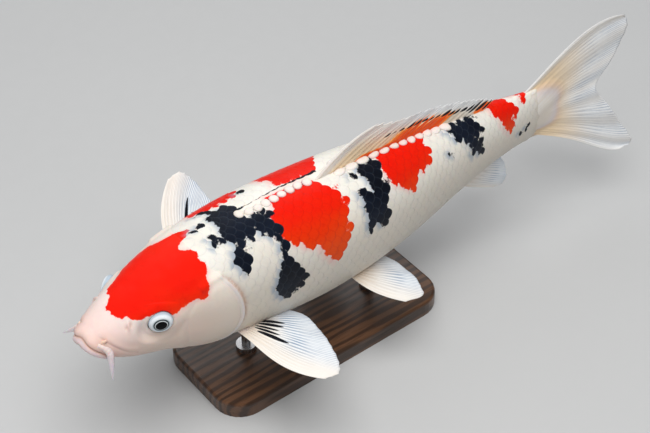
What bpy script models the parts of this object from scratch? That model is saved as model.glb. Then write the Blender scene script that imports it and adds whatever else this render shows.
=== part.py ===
"""A koi carp as a still, life-size display model, held level over a flat base by two short rods.

Frame: +Z up, the head towards -X, the fish's left side towards -Y, and the origin at the middle of the
base's underside. The fish is laid out in its own coordinates first: `along` runs from the snout to the
end of the tail stalk, z is measured from the body's long axis, and y from its bent spine.
"""

import math

import bmesh
import bpy
import numpy as np
from mathutils import Matrix, Vector

MM = 0.001

# ---------------------------------------------------------------- driving dimensions
BODY_LENGTH = 500 * MM        # snout to the end of the tail stalk
STAND_ALONG = 225 * MM        # the stand's middle, measured from the snout
AXIS_HEIGHT = 122 * MM        # the body's long axis above the floor
GAP = 0.3 * MM                # clear space between neighbouring pieces
SHARP_ANGLE = math.radians(40)

# Body stations in millimetres: distance from the snout, the heights of the back and the belly,
# the half width, and the height at which the body is widest.
STATIONS = (
    (0, 5, 5, 0, 5),
    (3, 11.5, -2, 11, 4),
    (9, 16, -8, 16.5, 2),
    (20, 21, -15.5, 22, 0),
    (38, 27.5, -24.5, 28.5, -1),
    (60, 33.5, -33, 34, -1),
    (85, 40, -42, 40, -1),
    (110, 45.5, -50, 45, 0),
    (140, 50.5, -57, 48, 2),
    (180, 54.5, -61.5, 49, 3),
    (230, 55.5, -62, 48.5, 3),
    (290, 52.5, -57.5, 43.5, 2),
    (350, 46, -48, 34.5, 1),
    (400, 39, -38, 25.5, 0.5),
    (440, 33, -31, 18, 0),
    (470, 30, -28, 12, 0),
    (500, 30, -29, 6, 0),
)
# How square each quarter of a section is, as a superellipse's power: 2 is an ellipse.
BACK_POWER = ((0, 2.1), (60, 2.5), (130, 2.4), (250, 2.4), (400, 2.2), (500, 2.0))
BELLY_POWER = ((0, 2.2), (60, 2.4), (150, 2.25), (300, 2.15), (500, 2.0))

# The pose, as the spine's line: distance from the snout, and the shift to the fish's right, in millimetres.
# It waves a little, and the head and the tail fin turn to the left.
SPINE = (
    (-10, -5.5), (30, -1), (70, 2.5), (110, 3.5), (160, 2), (230, -2.5), (300, -3), (380, -1),
    (430, -1.6), (470, -4.2), (500, -7.2), (530, -11.2), (560, -16.2), (590, -22), (620, -28.8),
)

BODY_RINGS = 48
BODY_SIDES = 28
CROWDING = 1.5                # crowds the rings towards the snout

# Side-view lines between the pieces of the body, as (along, up) in millimetres.
HEAD_REAR = (
    (128, 90), (119, 35), (126, 23), (130.5, 7), (130, -10), (123.5, -26), (112, -39), (99, -53), (93, -90),
)
GILL_FRONT = ((91, -60), (84, -36), (80, -20), (79, -4), (80.5, 12), (86, 26), (102, 33))
JAW_LINE = ((-30, 5), (1, 4.5), (8, 1.5), (16, -6), (20, -13), (25, -23), (30, -34), (34, -90))
GILL_DEPTH = 27 * MM          # how near the middle plane a gill cover reaches
TAIL_CUT = 424 * MM

EYE_RADIUS = 11.8 * MM
EYE_CENTRES = {"left": (60.5 * MM, 24.5 * MM, 12.5 * MM), "right": (57.5 * MM, 26.5 * MM, 8.5 * MM)}

# Fins: each row is one ray, from its root to its tip, in millimetres. Middle fins give
# (root along, tip along, tip up); the tail fin gives (root along, root up, tip along, tip up).
FIN_THICKNESS = 1.2 * MM
DORSAL_RAYS = (
    (223, 297.5, 82), (252, 325, 73), (284, 352, 68.5), (316, 376, 63), (349, 399, 57), (382, 419, 50),
    (414, 437, 41),
)
DORSAL_LEAN = -4 * MM
ANAL_RAYS = ((392, 449, -71), (402, 457, -62), (412, 460, -52), (421, 456, -43.5), (430, 447, -38))
TAIL_RAYS = (
    (474, 25, 588, 70), (480, 24, 592.5, 62.5), (489, 14, 585, 41), (492, 6.5, 568.5, 20), (492, 0.5, 558, 4),
    (492, -6, 570, -14), (490, -12, 587.5, -42), (485, -17.5, 600.5, -64.5), (482, -20, 591.5, -69.5),
)
TAIL_BOW = (17, 7)            # how far the tail fin's outermost rays bow outwards, above and below
TAIL_TWIST = 0.2              # sideways shift of a tip per unit of its height
# Paired fins: tips of the rays in the fin's own plane, as (backward, outward) from the root's front end.
PECTORAL_RAYS = {
    "left": ((31, 90), (46, 91.5), (54.5, 79), (60.5, 57), (63.8, 35), (63, 15), (54, 4)),
    "right": ((31, 91.5), (43.5, 93.5), (51, 84), (55, 71), (57.5, 57), (59, 42), (58, 25)),
}
PECTORAL_ROOT = (127 * MM, 33 * MM, -40 * MM, 19 * MM)   # along, out, up, length
PECTORAL_POSE = {"left": (3, 0), "right": (43, 8)}       # degrees up, millimetres forward
PECTORAL_BOW = (12, 2)        # how far the leading edge bows forward, and how late
PELVIC_RAYS = dict.fromkeys(
    ("left", "right"), ((22, 49.5), (38, 53), (43.5, 43), (46.8, 30), (47.5, 17.5), (46.6, 6), (43, -3)),
)
PELVIC_ROOT = (249 * MM, 29 * MM, -49 * MM, 14 * MM)
PELVIC_POSE = {"left": (-4, 0), "right": (-12, 0)}
PELVIC_BOW = (8, 1.3)

# Barbels: root and tip as (along, out, up), and the root's radius, in millimetres.
BARBELS = {
    "barbel_lower_left": ((12.8, -17.5, 4), (10.2, -24.6, -24.5), 2.3),
    "barbel_lower_right": ((10, 15, 5.5), (6.5, 32, -9), 1.9),
    "barbel_upper_left": ((11.5, -11, 10), (14, -17.5, 13.2), 1.2),
    "barbel_upper_right": ((11.5, 11, 10.5), (14, 17.3, 13.4), 1.2),
}

BASE_SIZE = (240 * MM, 110 * MM, 15 * MM)
BASE_CORNER = 26 * MM
BASE_EDGE = 2.5 * MM
ROD_RADIUS = 4 * MM
ROD_ALONG = (160 * MM, 295 * MM)
ROD_FOOT = (9 * MM, 5 * MM)   # radius, height of the collar where a rod meets the base
ROD_PAD = (8 * MM, 7 * MM)    # radius, height of the pad that the belly lies on

SKIN_WHITE = (0.86, 0.80, 0.74)
FIN_WHITE = (0.84, 0.82, 0.80)
LIP_PINK = (0.85, 0.68, 0.62)
EYE_SILVER = (0.75, 0.78, 0.80)
WALNUT = (0.09, 0.05, 0.03)
STEEL = (0.62, 0.62, 0.63)


# ---------------------------------------------------------------- curves
def smooth(table, x, column=1):
    """A smooth curve through a table's rows, read at x in the table's own units."""
    rows = np.array(table, float)
    at, value = rows[:, 0], rows[:, column]
    slope = np.gradient(value, at)
    i = int(np.clip(np.searchsorted(at, x) - 1, 0, len(at) - 2))
    step = at[i + 1] - at[i]
    t = (x - at[i]) / step
    return (
        (2 * t**3 - 3 * t**2 + 1) * value[i]
        + (t**3 - 2 * t**2 + t) * step * slope[i]
        + (3 * t**2 - 2 * t**3) * value[i + 1]
        + (t**3 - t**2) * step * slope[i + 1]
    )


ROOT_STATIONS = tuple((math.sqrt(row[0]), *row[1:]) for row in STATIONS)


def body_size(along):
    """(back, belly, half width, widest height) at a distance from the snout, all in metres.

    The curves run over the distance's square root, which rounds the snout off."""
    root = math.sqrt(max(along / MM, 0))
    return tuple(smooth(ROOT_STATIONS, root, column) * MM for column in (1, 2, 3, 4))


def spine_shift(along):
    """Where the spine lies across the model (the fish's left is towards -Y)."""
    return smooth(SPINE, along / MM) * MM


def spine_turn(along):
    """The spine's heading at a distance from the snout, as an angle about +Z."""
    return math.atan((spine_shift(along + MM) - spine_shift(along - MM)) / (2 * MM))


def place(along, out, up):
    """A point of the fish in the part's frame: along the spine, out to its right and up from its axis."""
    turn = spine_turn(along)
    return Vector((
        along - STAND_ALONG - out * math.sin(turn),
        spine_shift(along) + out * math.cos(turn),
        up + AXIS_HEIGHT,
    ))


def body_point(along, angle, grow=0.0):
    """A point of the body's surface: angle 0 is the right side and 90 degrees the back."""
    back, belly, half_width, widest = body_size(along)
    c, s = math.cos(angle), math.sin(angle)
    power = smooth(BACK_POWER if s > 0 else BELLY_POWER, along / MM)
    reach = back - widest if s > 0 else widest - belly
    out = math.copysign(abs(c) ** (2 / power), c) * (half_width + grow)
    up = math.copysign(abs(s) ** (2 / power), s) * (reach + grow)
    return out, widest + up


# ---------------------------------------------------------------- mesh helpers
def clear_scene():
    for thing in list(bpy.data.objects):
        bpy.data.objects.remove(thing)


def collection(name, hidden=False):
    made = bpy.data.collections.new(name)
    made.hide_render = hidden
    bpy.context.scene.collection.children.link(made)
    return made


def material(name, colour, roughness, metallic=0.0):
    made = bpy.data.materials.new(name)
    made.use_nodes = True
    shader = made.node_tree.nodes["Principled BSDF"]
    shader.inputs["Base Color"].default_value = (*colour, 1)
    shader.inputs["Roughness"].default_value = roughness
    shader.inputs["Metallic"].default_value = metallic
    return made


def mesh_object(name, mesh, group, finish=None):
    made = bpy.data.objects.new(name, mesh)
    group.objects.link(made)
    if finish:
        mesh.materials.append(finish)
    return made


def shade(mesh):
    mesh.shade_smooth()
    mesh.set_sharp_from_angle(angle=SHARP_ANGLE)


def from_bmesh(name, shape, group, finish=None):
    bmesh.ops.recalc_face_normals(shape, faces=shape.faces)
    mesh = bpy.data.meshes.new(name)
    shape.to_mesh(mesh)
    shape.free()
    return mesh_object(name, mesh, group, finish)


def helper(shape_object):
    """Marks an object as a cutter, which the model leaves out."""
    shape_object.hide_render = True
    shape_object.display_type = "WIRE"
    return shape_object


def evaluated_mesh(thing):
    bpy.context.view_layer.update()
    graph = bpy.context.evaluated_depsgraph_get()
    mesh = bpy.data.meshes.new_from_object(thing.evaluated_get(graph))
    mesh.transform(thing.matrix_world)
    return mesh


def combine(thing, other, operation):
    """Cuts, joins or intersects two objects, and keeps the result as the first one's mesh."""
    cut = thing.modifiers.new(operation.lower(), "BOOLEAN")
    cut.operation = operation
    cut.solver = "EXACT"
    cut.object = other
    mesh = evaluated_mesh(thing)
    thing.modifiers.clear()
    thing.data = mesh
    thing.matrix_world = Matrix.Identity(4)
    return thing


def copy_of(thing, name, group):
    return mesh_object(name, thing.data.copy(), group)


def slab(name, outline, group, near=-0.15, far=0.15):
    """A cutter that is a closed side-view outline, (along, up) in millimetres, drawn out from near to far."""
    shape = bmesh.new()
    corners = [shape.verts.new((a * MM - STAND_ALONG, near, u * MM + AXIS_HEIGHT)) for a, u in outline]
    drawn = bmesh.ops.extrude_face_region(shape, geom=[shape.faces.new(corners)])
    moved = [v for v in drawn["geom"] if isinstance(v, bmesh.types.BMVert)]
    bmesh.ops.translate(shape, verts=moved, vec=(0, far - near, 0))
    return helper(from_bmesh(name, shape, group))


def shifted(line, distance):
    """A side-view line moved along the body by a distance in metres."""
    return tuple((a + distance / MM, u) for a, u in line)


def grown(outline, distance):
    """A side-view outline moved outwards by a distance in metres."""
    points = [Vector(p) for p in outline]
    area = sum(p.cross(q) for p, q in zip(points, points[1:] + points[:1]))
    moved = []
    for before, p, after in zip(points[-1:] + points[:-1], points, points[1:] + points[:1]):
        run = (p - before).normalized() + (after - p).normalized()
        normal = Vector((run.y, -run.x)) * math.copysign(2 / run.length_squared, area)
        moved.append(tuple(p + normal * distance / MM))
    return moved


# ---------------------------------------------------------------- the body
def rings_to(name, group, sides, rings, point, ends):
    """A closed form: a sphere's rings are moved to point(ring, angle), and its poles to the two ends."""
    shape = bmesh.new()
    bmesh.ops.create_uvsphere(shape, u_segments=sides, v_segments=rings, radius=1)
    for vert in shape.verts:
        ring = round(math.acos(max(-1, min(1, vert.co.z))) / math.pi * rings)
        if ring in (0, rings):
            vert.co = ends[ring > 0]
        else:
            vert.co = point((ring - 1) / (rings - 2), math.atan2(vert.co.y, vert.co.x))
    return from_bmesh(name, shape, group)


def body_mesh(name, group, grow=0.0):
    first = 0.6 * MM

    def point(share, angle):
        along = first + (BODY_LENGTH - first) * share**CROWDING
        return place(along, *body_point(along, angle, grow))

    middle = body_size(0)[3]
    return rings_to(
        name, group, BODY_SIDES, BODY_RINGS, point,
        (place(-grow, 0, middle), place(BODY_LENGTH + 0.8 * MM + grow, 0, 0)),
    )


def split_body(body, model, cutters):
    """Cuts the whole body into the head, its jaw and gill covers, the trunk and the tail stalk."""
    head_side = (*HEAD_REAR, (-40, -90), (-40, 90))
    jaw_side = (*JAW_LINE, (-30, -90))
    gill_side = (*HEAD_REAR[1:-1], *GILL_FRONT)
    cut = TAIL_CUT / MM
    trunk_side = (*shifted(HEAD_REAR, GAP), (cut, -90), (cut, 90))
    tail_side = ((cut + GAP / MM, 90), (cut + GAP / MM, -90), (560, -90), (560, 90))

    def piece(name, outline, near=-0.15, far=0.15):
        return combine(copy_of(body, name, model), slab(f"{name}_keep", outline, cutters, near, far), "INTERSECT")

    head = piece("head", head_side)
    combine(head, slab("jaw_room", grown(jaw_side, GAP), cutters), "DIFFERENCE")
    piece("lower_jaw", jaw_side)
    for side, sign in (("left", -1), ("right", 1)):
        inner, outer = sign * GILL_DEPTH, sign * 0.15
        piece(f"gill_cover_{side}", gill_side, min(inner, outer), max(inner, outer))
        inner -= sign * GAP
        room = slab(f"gill_room_{side}", grown(gill_side, GAP), cutters, min(inner, outer), max(inner, outer))
        combine(head, room, "DIFFERENCE")
    piece("trunk", trunk_side)
    piece("tail_stalk", tail_side)
    bpy.data.objects.remove(body)
    return head


def ball_of(name, radius, centre, group, finish=None):
    shape = bmesh.new()
    bmesh.ops.create_uvsphere(shape, u_segments=20, v_segments=10, radius=radius)
    bmesh.ops.translate(shape, verts=shape.verts, vec=centre)
    return from_bmesh(name, shape, group, finish)


def add_eyes(head, model, cutters, finish):
    for side, sign in (("left", -1), ("right", 1)):
        along, out, up = EYE_CENTRES[side]
        centre = place(along, sign * out, up)
        ball_of(f"eye_{side}", EYE_RADIUS, centre, model, finish)
        socket = ball_of(f"socket_{side}", EYE_RADIUS + GAP, centre, cutters)
        combine(head, helper(socket), "DIFFERENCE")


def add_barbels(model, room, finish):
    for name, (root, tip, radius) in BARBELS.items():
        start, end = (place(*(c * MM for c in p)) for p in (root, tip))
        run = end - start
        across = run.orthogonal().normalized()
        beside = run.normalized().cross(across)

        def point(share, angle):
            wide = radius * MM * (1 - 0.75 * share)
            sag = Vector((0.06, 0, -0.06)) * run.length * 4 * share * (1 - share)
            return start + run * share + sag + (across * math.cos(angle) + beside * math.sin(angle)) * wide

        barbel = rings_to(name, model, 8, 8, point, (start - run * 0.02, end + run * 0.02))
        barbel.data.materials.append(finish)
        combine(barbel, room, "DIFFERENCE")


# ---------------------------------------------------------------- fins
def add_fin(name, point, steps, model, room, finish):
    """A thin sheet through point(across, outward), both from 0 to 1, less the room that the body takes."""
    shape = bmesh.new()
    bmesh.ops.create_grid(shape, x_segments=steps[0], y_segments=steps[1], size=0.5)
    for vert in shape.verts:
        vert.co = point(vert.co.x + 0.5, vert.co.y + 0.5)
    fin = from_bmesh(name, shape, model, finish)
    sheet = fin.modifiers.new("thickness", "SOLIDIFY")
    sheet.thickness = FIN_THICKNESS
    sheet.offset = 0
    sheet.use_even_offset = False
    return combine(fin, room, "DIFFERENCE")


def along_rays(table, share, column):
    """A smooth reading of a table of evenly spread rays, from the first at 0 to the last at 1."""
    rows = tuple((i / (len(table) - 1), *row) for i, row in enumerate(table))
    return smooth(rows, share, column + 1)


def late_bow(out, power):
    """A curve from 0 at the root to 0 at the tip, with its top of 1 the nearer the tip the higher the power."""
    out = min(max(out, 0), 1)
    top = power / (power + 1)
    return out**power * (1 - out) / (top**power * (1 - top))


def add_middle_fins(model, room, finish):
    def dorsal(share, out):
        root, tip, up = (along_rays(DORSAL_RAYS, share, i) for i in range(3))
        low = body_size(root * MM)[0] / MM - 6
        rise = out + (0.25 + 0.85 * (1 - share) ** 2) * out * (1 - out)
        return place((root + (tip - root) * out) * MM, DORSAL_LEAN * out, (low + (up - low) * rise) * MM)

    def anal(share, out):
        root, tip, up = (along_rays(ANAL_RAYS, share, i) for i in range(3))
        low = body_size(root * MM)[1] / MM + 6
        return place((root + (tip - root) * out) * MM, 0, (low + (up - low) * out) * MM)

    def caudal(share, out):
        root, root_up, tip, tip_up = (along_rays(TAIL_RAYS, share, i) for i in range(4))
        upper, lower = max(1 - 2 * share, 0) ** 2, max(2 * share - 1, 0) ** 2
        bow = (TAIL_BOW[0] * upper * late_bow(out, 1.5) - TAIL_BOW[1] * lower * late_bow(out, 5)) * MM
        up = root_up + (tip_up - root_up) * out
        return place((root + (tip - root) * out) * MM, TAIL_TWIST * out * up * MM - 2 * MM * out, up * MM + bow)

    add_fin("dorsal_fin", dorsal, (24, 5), model, room, finish)
    add_fin("anal_fin", anal, (8, 5), model, room, finish)
    add_fin("caudal_fin", caudal, (26, 7), model, room, finish)


def add_paired_fins(model, room, finish):
    for kind, rays, root, poses, bow in (
        ("pectoral", PECTORAL_RAYS, PECTORAL_ROOT, PECTORAL_POSE, PECTORAL_BOW),
        ("pelvic", PELVIC_RAYS, PELVIC_ROOT, PELVIC_POSE, PELVIC_BOW),
    ):
        for side, sign in (("left", -1), ("right", 1)):
            lift, forward = poses[side]
            tilt = math.radians(lift)

            def point(share, out):
                back, reach = (along_rays(rays[side], share, i) * MM for i in range(2))
                start = root[3] * share
                bent = bow[0] * MM * max(1 - share, 0) ** 1.5 * late_bow(out, bow[1])
                along = start + (back - start) * out - bent
                across = -8 * MM + (reach + 8 * MM) * out
                beyond = max(across, 0)
                camber = 3 * MM * 4 * out * (1 - out) - 3 * MM * share
                return place(
                    root[0] + along - forward * MM,
                    sign * (root[1] + min(across, 0) + beyond * math.cos(tilt) - camber * math.sin(tilt)),
                    root[2] + beyond * math.sin(tilt) + camber * math.cos(tilt),
                )

            add_fin(f"{kind}_fin_{side}", point, (12, 6), model, room, finish)


# ---------------------------------------------------------------- the stand
def upright(name, radius, low, high, along, group, sides=20):
    shape = bmesh.new()
    bmesh.ops.create_cone(
        shape, cap_ends=True, segments=sides, radius1=radius, radius2=radius, depth=high - low,
        matrix=Matrix.Translation((along - STAND_ALONG, spine_shift(along), (low + high) / 2)),
    )
    return from_bmesh(name, shape, group)


def add_stand(model, cutters, room, wood, steel):
    length, width, height = BASE_SIZE
    shape = bmesh.new()
    bmesh.ops.create_cube(shape, size=1)
    bmesh.ops.scale(shape, vec=BASE_SIZE, verts=shape.verts)
    bmesh.ops.translate(shape, vec=(0, 0, height / 2), verts=shape.verts)
    corners = [e for e in shape.edges if abs(e.verts[0].co.z - e.verts[1].co.z) > height / 2]
    bmesh.ops.bevel(shape, geom=corners, offset=BASE_CORNER, segments=8, affect="EDGES", profile=0.5)
    rim = [e for e in shape.edges if min(v.co.z for v in e.verts) > height - MM / 10]
    bmesh.ops.bevel(shape, geom=rim, offset=BASE_EDGE, segments=3, affect="EDGES", profile=0.5)
    from_bmesh("stand_base", shape, model, wood)

    for side, along in zip(("front", "rear"), ROD_ALONG):
        belly = AXIS_HEIGHT + body_size(along)[1]
        rod = upright(f"stand_rod_{side}", ROD_RADIUS, height, belly + 4 * MM, along, model)
        foot = upright(f"foot_{side}", ROD_FOOT[0], height, height + ROD_FOOT[1], along, cutters)
        pad = upright(f"pad_{side}", ROD_PAD[0], belly - ROD_PAD[1] / 2, belly + ROD_PAD[1] / 2, along, cutters)
        combine(rod, helper(foot), "UNION")
        combine(rod, helper(pad), "UNION")
        combine(rod, room, "DIFFERENCE")
        rod.data.materials.clear()
        rod.data.materials.append(steel)


def main():
    clear_scene()
    model = collection("koi_carp")
    cutters = collection("cutters", hidden=True)
    flesh = material("flesh", SKIN_WHITE, 0.35)
    fins = material("fin", FIN_WHITE, 0.4)
    lips = material("barbel", LIP_PINK, 0.4)
    eyes = material("eye", EYE_SILVER, 0.1)
    wood = material("stand_wood", WALNUT, 0.45)
    steel = material("stand_steel", STEEL, 0.3, 1.0)

    body = body_mesh("whole_body", model)
    body.data.materials.append(flesh)
    room = helper(body_mesh("body_room", cutters, GAP))
    head = split_body(body, model, cutters)
    add_eyes(head, model, cutters, eyes)
    add_barbels(model, room, lips)
    add_middle_fins(model, room, fins)
    add_paired_fins(model, room, fins)
    add_stand(model, cutters, room, wood, steel)
    for thing in model.objects:
        shade(thing.data)


main()
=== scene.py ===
"""The looks of a koi carp held over a flat base by two rods.

One skin stands for the flesh, with overlapping scales lying over it, and the fins, eyes and barbels are
fine meshes of their own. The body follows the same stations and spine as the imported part, so a place on
it is given the same way: in millimetres along from the snout, out to the fish's right and up from its
axis. A place on the surface is (along, around), where around is the distance from the middle of the back
over the skin, positive down the left flank.
"""

import math

import bpy
import numpy as np
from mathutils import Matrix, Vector


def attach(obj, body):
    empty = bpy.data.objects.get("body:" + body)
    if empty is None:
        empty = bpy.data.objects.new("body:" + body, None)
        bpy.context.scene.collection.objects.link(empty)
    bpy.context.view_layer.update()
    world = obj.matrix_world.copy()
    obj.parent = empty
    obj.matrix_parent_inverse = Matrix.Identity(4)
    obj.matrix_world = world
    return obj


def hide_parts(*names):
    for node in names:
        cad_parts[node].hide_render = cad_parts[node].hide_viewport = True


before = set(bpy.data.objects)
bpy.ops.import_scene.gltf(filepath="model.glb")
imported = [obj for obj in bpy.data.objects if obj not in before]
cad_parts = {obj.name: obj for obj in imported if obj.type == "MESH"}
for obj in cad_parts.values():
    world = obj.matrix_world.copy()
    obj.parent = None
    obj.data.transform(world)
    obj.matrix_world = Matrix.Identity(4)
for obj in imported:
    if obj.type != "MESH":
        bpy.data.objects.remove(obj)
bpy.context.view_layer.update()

MM = 0.001
STAND_ALONG = 225          # the stand's middle, from the snout
AXIS_HEIGHT = 122          # the body's long axis above the floor
BODY_LENGTH = 500

# The body's stations: along, the heights of the back and the belly, half width, height where it is widest.
STATIONS = (
    (0, 5, 5, 0, 5),
    (3, 11.5, -2, 11, 4),
    (9, 16, -8, 16.5, 2),
    (20, 21, -15.5, 22, 0),
    (38, 27.5, -24.5, 28.5, -1),
    (60, 33.5, -33, 34, -1),
    (85, 40, -42, 40, -1),
    (110, 45.5, -50, 45, 0),
    (140, 50.5, -57, 48, 2),
    (180, 54.5, -61.5, 49, 3),
    (230, 55.5, -62, 48.5, 3),
    (290, 52.5, -57.5, 43.5, 2),
    (350, 46, -48, 34.5, 1),
    (400, 39, -38, 25.5, 0.5),
    (440, 33, -31, 18, 0),
    (470, 30, -28, 12, 0),
    (500, 30, -29, 6, 0),
)
BACK_POWER = ((0, 2.1), (60, 2.5), (130, 2.4), (250, 2.4), (400, 2.2), (500, 2.0))
BELLY_POWER = ((0, 2.2), (60, 2.4), (150, 2.25), (300, 2.15), (500, 2.0))
SPINE = (
    (-10, -5.5), (30, -1), (70, 2.5), (110, 3.5), (160, 2), (230, -2.5), (300, -3), (380, -1),
    (430, -1.6), (470, -4.2), (500, -7.2), (530, -11.2), (560, -16.2), (590, -22), (620, -28.8),
)
TAIL_TAPER = 480           # behind this the body thins down to the tail fin

# Lines over the surface, read by the share of the half girth: 0 is the back and 1 the belly.
REAR_LINE = (              # the rear edge of the nape and of the gill cover, as (share, along)
    (0, 108), (0.14, 109), (0.22, 113), (0.28, 119), (0.37, 126.5), (0.45, 130), (0.52, 131),
    (0.6, 128.5), (0.67, 123.5), (0.76, 113), (0.9, 98), (1, 93),
)
LATERAL_LINE = ((100, 0.37), (150, 0.42), (250, 0.455), (400, 0.48), (520, 0.5))   # (along, share)
GAPE_LINE = (              # where the lips meet, as (out, up)
    (0, 11.2), (3, 10.6), (6, 9.2), (9.8, 7.3), (13.5, 4.5), (16.5, 1), (18, -2), (24, -13),
)

# Scales
SCALE_STEP = ((90, 7.6), (170, 8.8), (300, 9), (400, 8.4), (500, 6.8))    # along a row
ROW_SPACING = ((90, 6.4), (170, 7.3), (300, 7.2), (400, 6.3), (500, 5))
SCALE_LENGTH = 1.95        # in steps
SCALE_WIDTH = 1.85         # in row spacings
COAT_DEPTH = 0.45          # the skin's depth under the scales' tops
EXPOSED_MIDDLE = 0.74      # the middle of a scale's bare part, from its root to its rear edge
SCALE_GRID = 10            # points each way over a scale

# Eyes
EYE_CENTRES = {-1: (61, 25, 13.2), 1: (57, 27.5, 8)}   # left, right: along, out, up
EYE_AXIS = (-0.50, 0.86, 0.06)               # the pupil's direction: along, out, up
EYE_RIM = 10.1             # the eye's radius where it comes out of the skin
EYE_RIM_HEIGHT = 7.3       # that circle's height over the eye's centre
EYE_DOME = 4.7             # the dome's height over that circle
EYE_BOWL = 8.5             # the bowl's depth under it
EYE_OVAL = 0.87            # the eye's height over its width
EYE_TILT = math.radians(18)                  # how far its front end lies lower

# Fins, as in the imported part
DORSAL_RAYS = (
    (223, 297.5, 82), (252, 325, 73), (284, 352, 68.5), (316, 376, 63), (349, 399, 57), (382, 419, 50),
    (414, 437, 41),
)
DORSAL_LEAN = (-4.5, -3)   # out at the root and at the tip
ANAL_RAYS = ((386, 449, -72.5), (397, 458, -71), (408, 462, -62), (419, 460.5, -49.5), (430, 453, -36))
TAIL_RAYS = (
    (470, 28, 588, 70), (480, 24, 592.5, 62.5), (489, 14, 585, 41), (492, 6.5, 568.5, 20),
    (492, 0.5, 558, 4), (492, -6, 570, -14), (490, -12, 587.5, -42), (485, -17.5, 600.5, -64.5),
    (478, -20, 591.5, -69.5),
)
TAIL_BOW = (17, 7)
TAIL_TWIST = 0.2
TAIL_DEPTH = 0.09          # how deep the tail fin's rays start inside the stalk, over their length
TAIL_FLESH = (0.36, 2.0)   # how far out the stalk's flesh reaches, and how fast that falls to both sides
PECTORAL_RAYS = {
    "left": ((31, 90), (46, 91.5), (54.5, 79), (60.5, 57), (63.8, 35), (63, 15), (54, 4)),
    "right": ((31, 91.5), (43.5, 93.5), (51, 84), (55, 71), (57.5, 57), (59, 42), (58, 25)),
}
PECTORAL_BOW = (12, 2)     # how far the leading edge bows forward, and how late
PECTORAL_ROOT = (127, 33, -40, 19)           # along, out, up, length
PECTORAL_POSE = {"left": (3, 0), "right": (43, 8)}      # degrees up, millimetres forward
PELVIC_RAYS = dict.fromkeys(
    ("left", "right"), ((22, 49.5), (38, 53), (43.5, 43), (46.8, 30), (47.5, 17.5), (46.6, 6), (43, -3)),
)
PELVIC_BOW = (8, 1.3)
PELVIC_ROOT = (249, 29, -49, 14)
PELVIC_POSE = {"left": (-4, 0), "right": (-12, 0)}
BARBELS = {                # points (along, out, up) down each barbel, then its radius at each
    "barbel_lower_left": (
        ((8, -12.8, 9), (12, -17.2, 5.2), (13.4, -20.2, 0.3), (12.4, -22, -7), (11.2, -23.2, -14),
         (10.2, -24.6, -24.5)),
        (2.0, 2.7, 2.9, 2.3, 1.6, 0.3),
    ),
    "barbel_lower_right": (
        ((8, 12.8, 9), (10.5, 16.5, 5.5), (9.5, 20.5, 1.5), (8, 27, -4.5), (6, 32.5, -9.5)),
        (1.2, 2.5, 2.0, 1.2, 0.3),
    ),
    "barbel_upper_left": (((11, -13.6, 9.6), (12.5, -15.6, 11.4), (13.8, -17, 13)), (1.6, 1.3, 0.8)),
    "barbel_upper_right": (((11, 13.4, 9.6), (12, 14.8, 10.4), (12.8, 15.8, 10.8)), (1.5, 1.2, 0.7)),
}

# Markings: outlines as (along, around) in millimetres.
RED_PATCHES = (
    (   # the head's cap
        (121, -12), (103, -20), (91, -26), (73, -31), (60, -28), (49, -18), (38, -13), (30, -4), (29, 6),
        (33, 15), (37, 21), (46, 26), (54, 29), (69, 40), (79, 43), (89, 43), (99, 46), (104, 40), (106, 29),
        (110, 23), (111, 16), (106, 8), (102, 3), (104, -1), (111, -4),
    ),
    (   # the shoulder saddle, left of the back
        (182, -2), (183, 9), (176, 25), (177, 37), (186, 46), (195, 56), (207, 62), (212, 71), (215, 77),
        (220, 86), (226, 79), (230, 73), (238, 59), (241, 48), (244, 40), (242, 26), (234, 10), (226, 0),
        (207, 0),
    ),
    (   # its far part, over the right flank
        (195, -23), (198, -14), (200, -8), (212, -6), (226, -7), (238, -10), (246, -17), (254, -27),
        (252, -48), (240, -66), (222, -74), (206, -58), (192, -42),
    ),
    (   # a stripe beside the right shoulder
        (127, -25), (143, -23), (156, -22), (166, -21), (170, -26), (172, -36), (160, -52), (144, -58),
        (130, -46),
    ),
    (   # beside the dorsal fin
        (283, -4), (350, -4), (352, 6), (343, 10), (344, 22), (338, 30), (333, 36), (327, 41), (321, 38),
        (315, 39), (316, 45), (313, 50), (308, 49), (304, 45), (297, 45), (293, 40), (288, 35), (287, 28),
        (290, 17), (288, 10),
    ),
    (   # its far part
        (300, -2), (346, -2), (352, -18), (344, -36), (322, -47), (300, -40), (292, -22),
    ),
    (   # towards the tail
        (433, -6), (452, -6), (457, 2), (460, 10), (460, 15), (456, 20), (451, 18), (454, 25), (446, 34),
        (441, 27), (435, 20), (430, 12), (428, 6),
    ),
    (   # over the back at the tail
        (440, -10), (453, -9), (460, -4), (466, 1), (469, 9), (473, 9), (477, 1), (482, -3), (484, -14),
        (474, -24), (456, -30), (436, -26),
    ),
)
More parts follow.
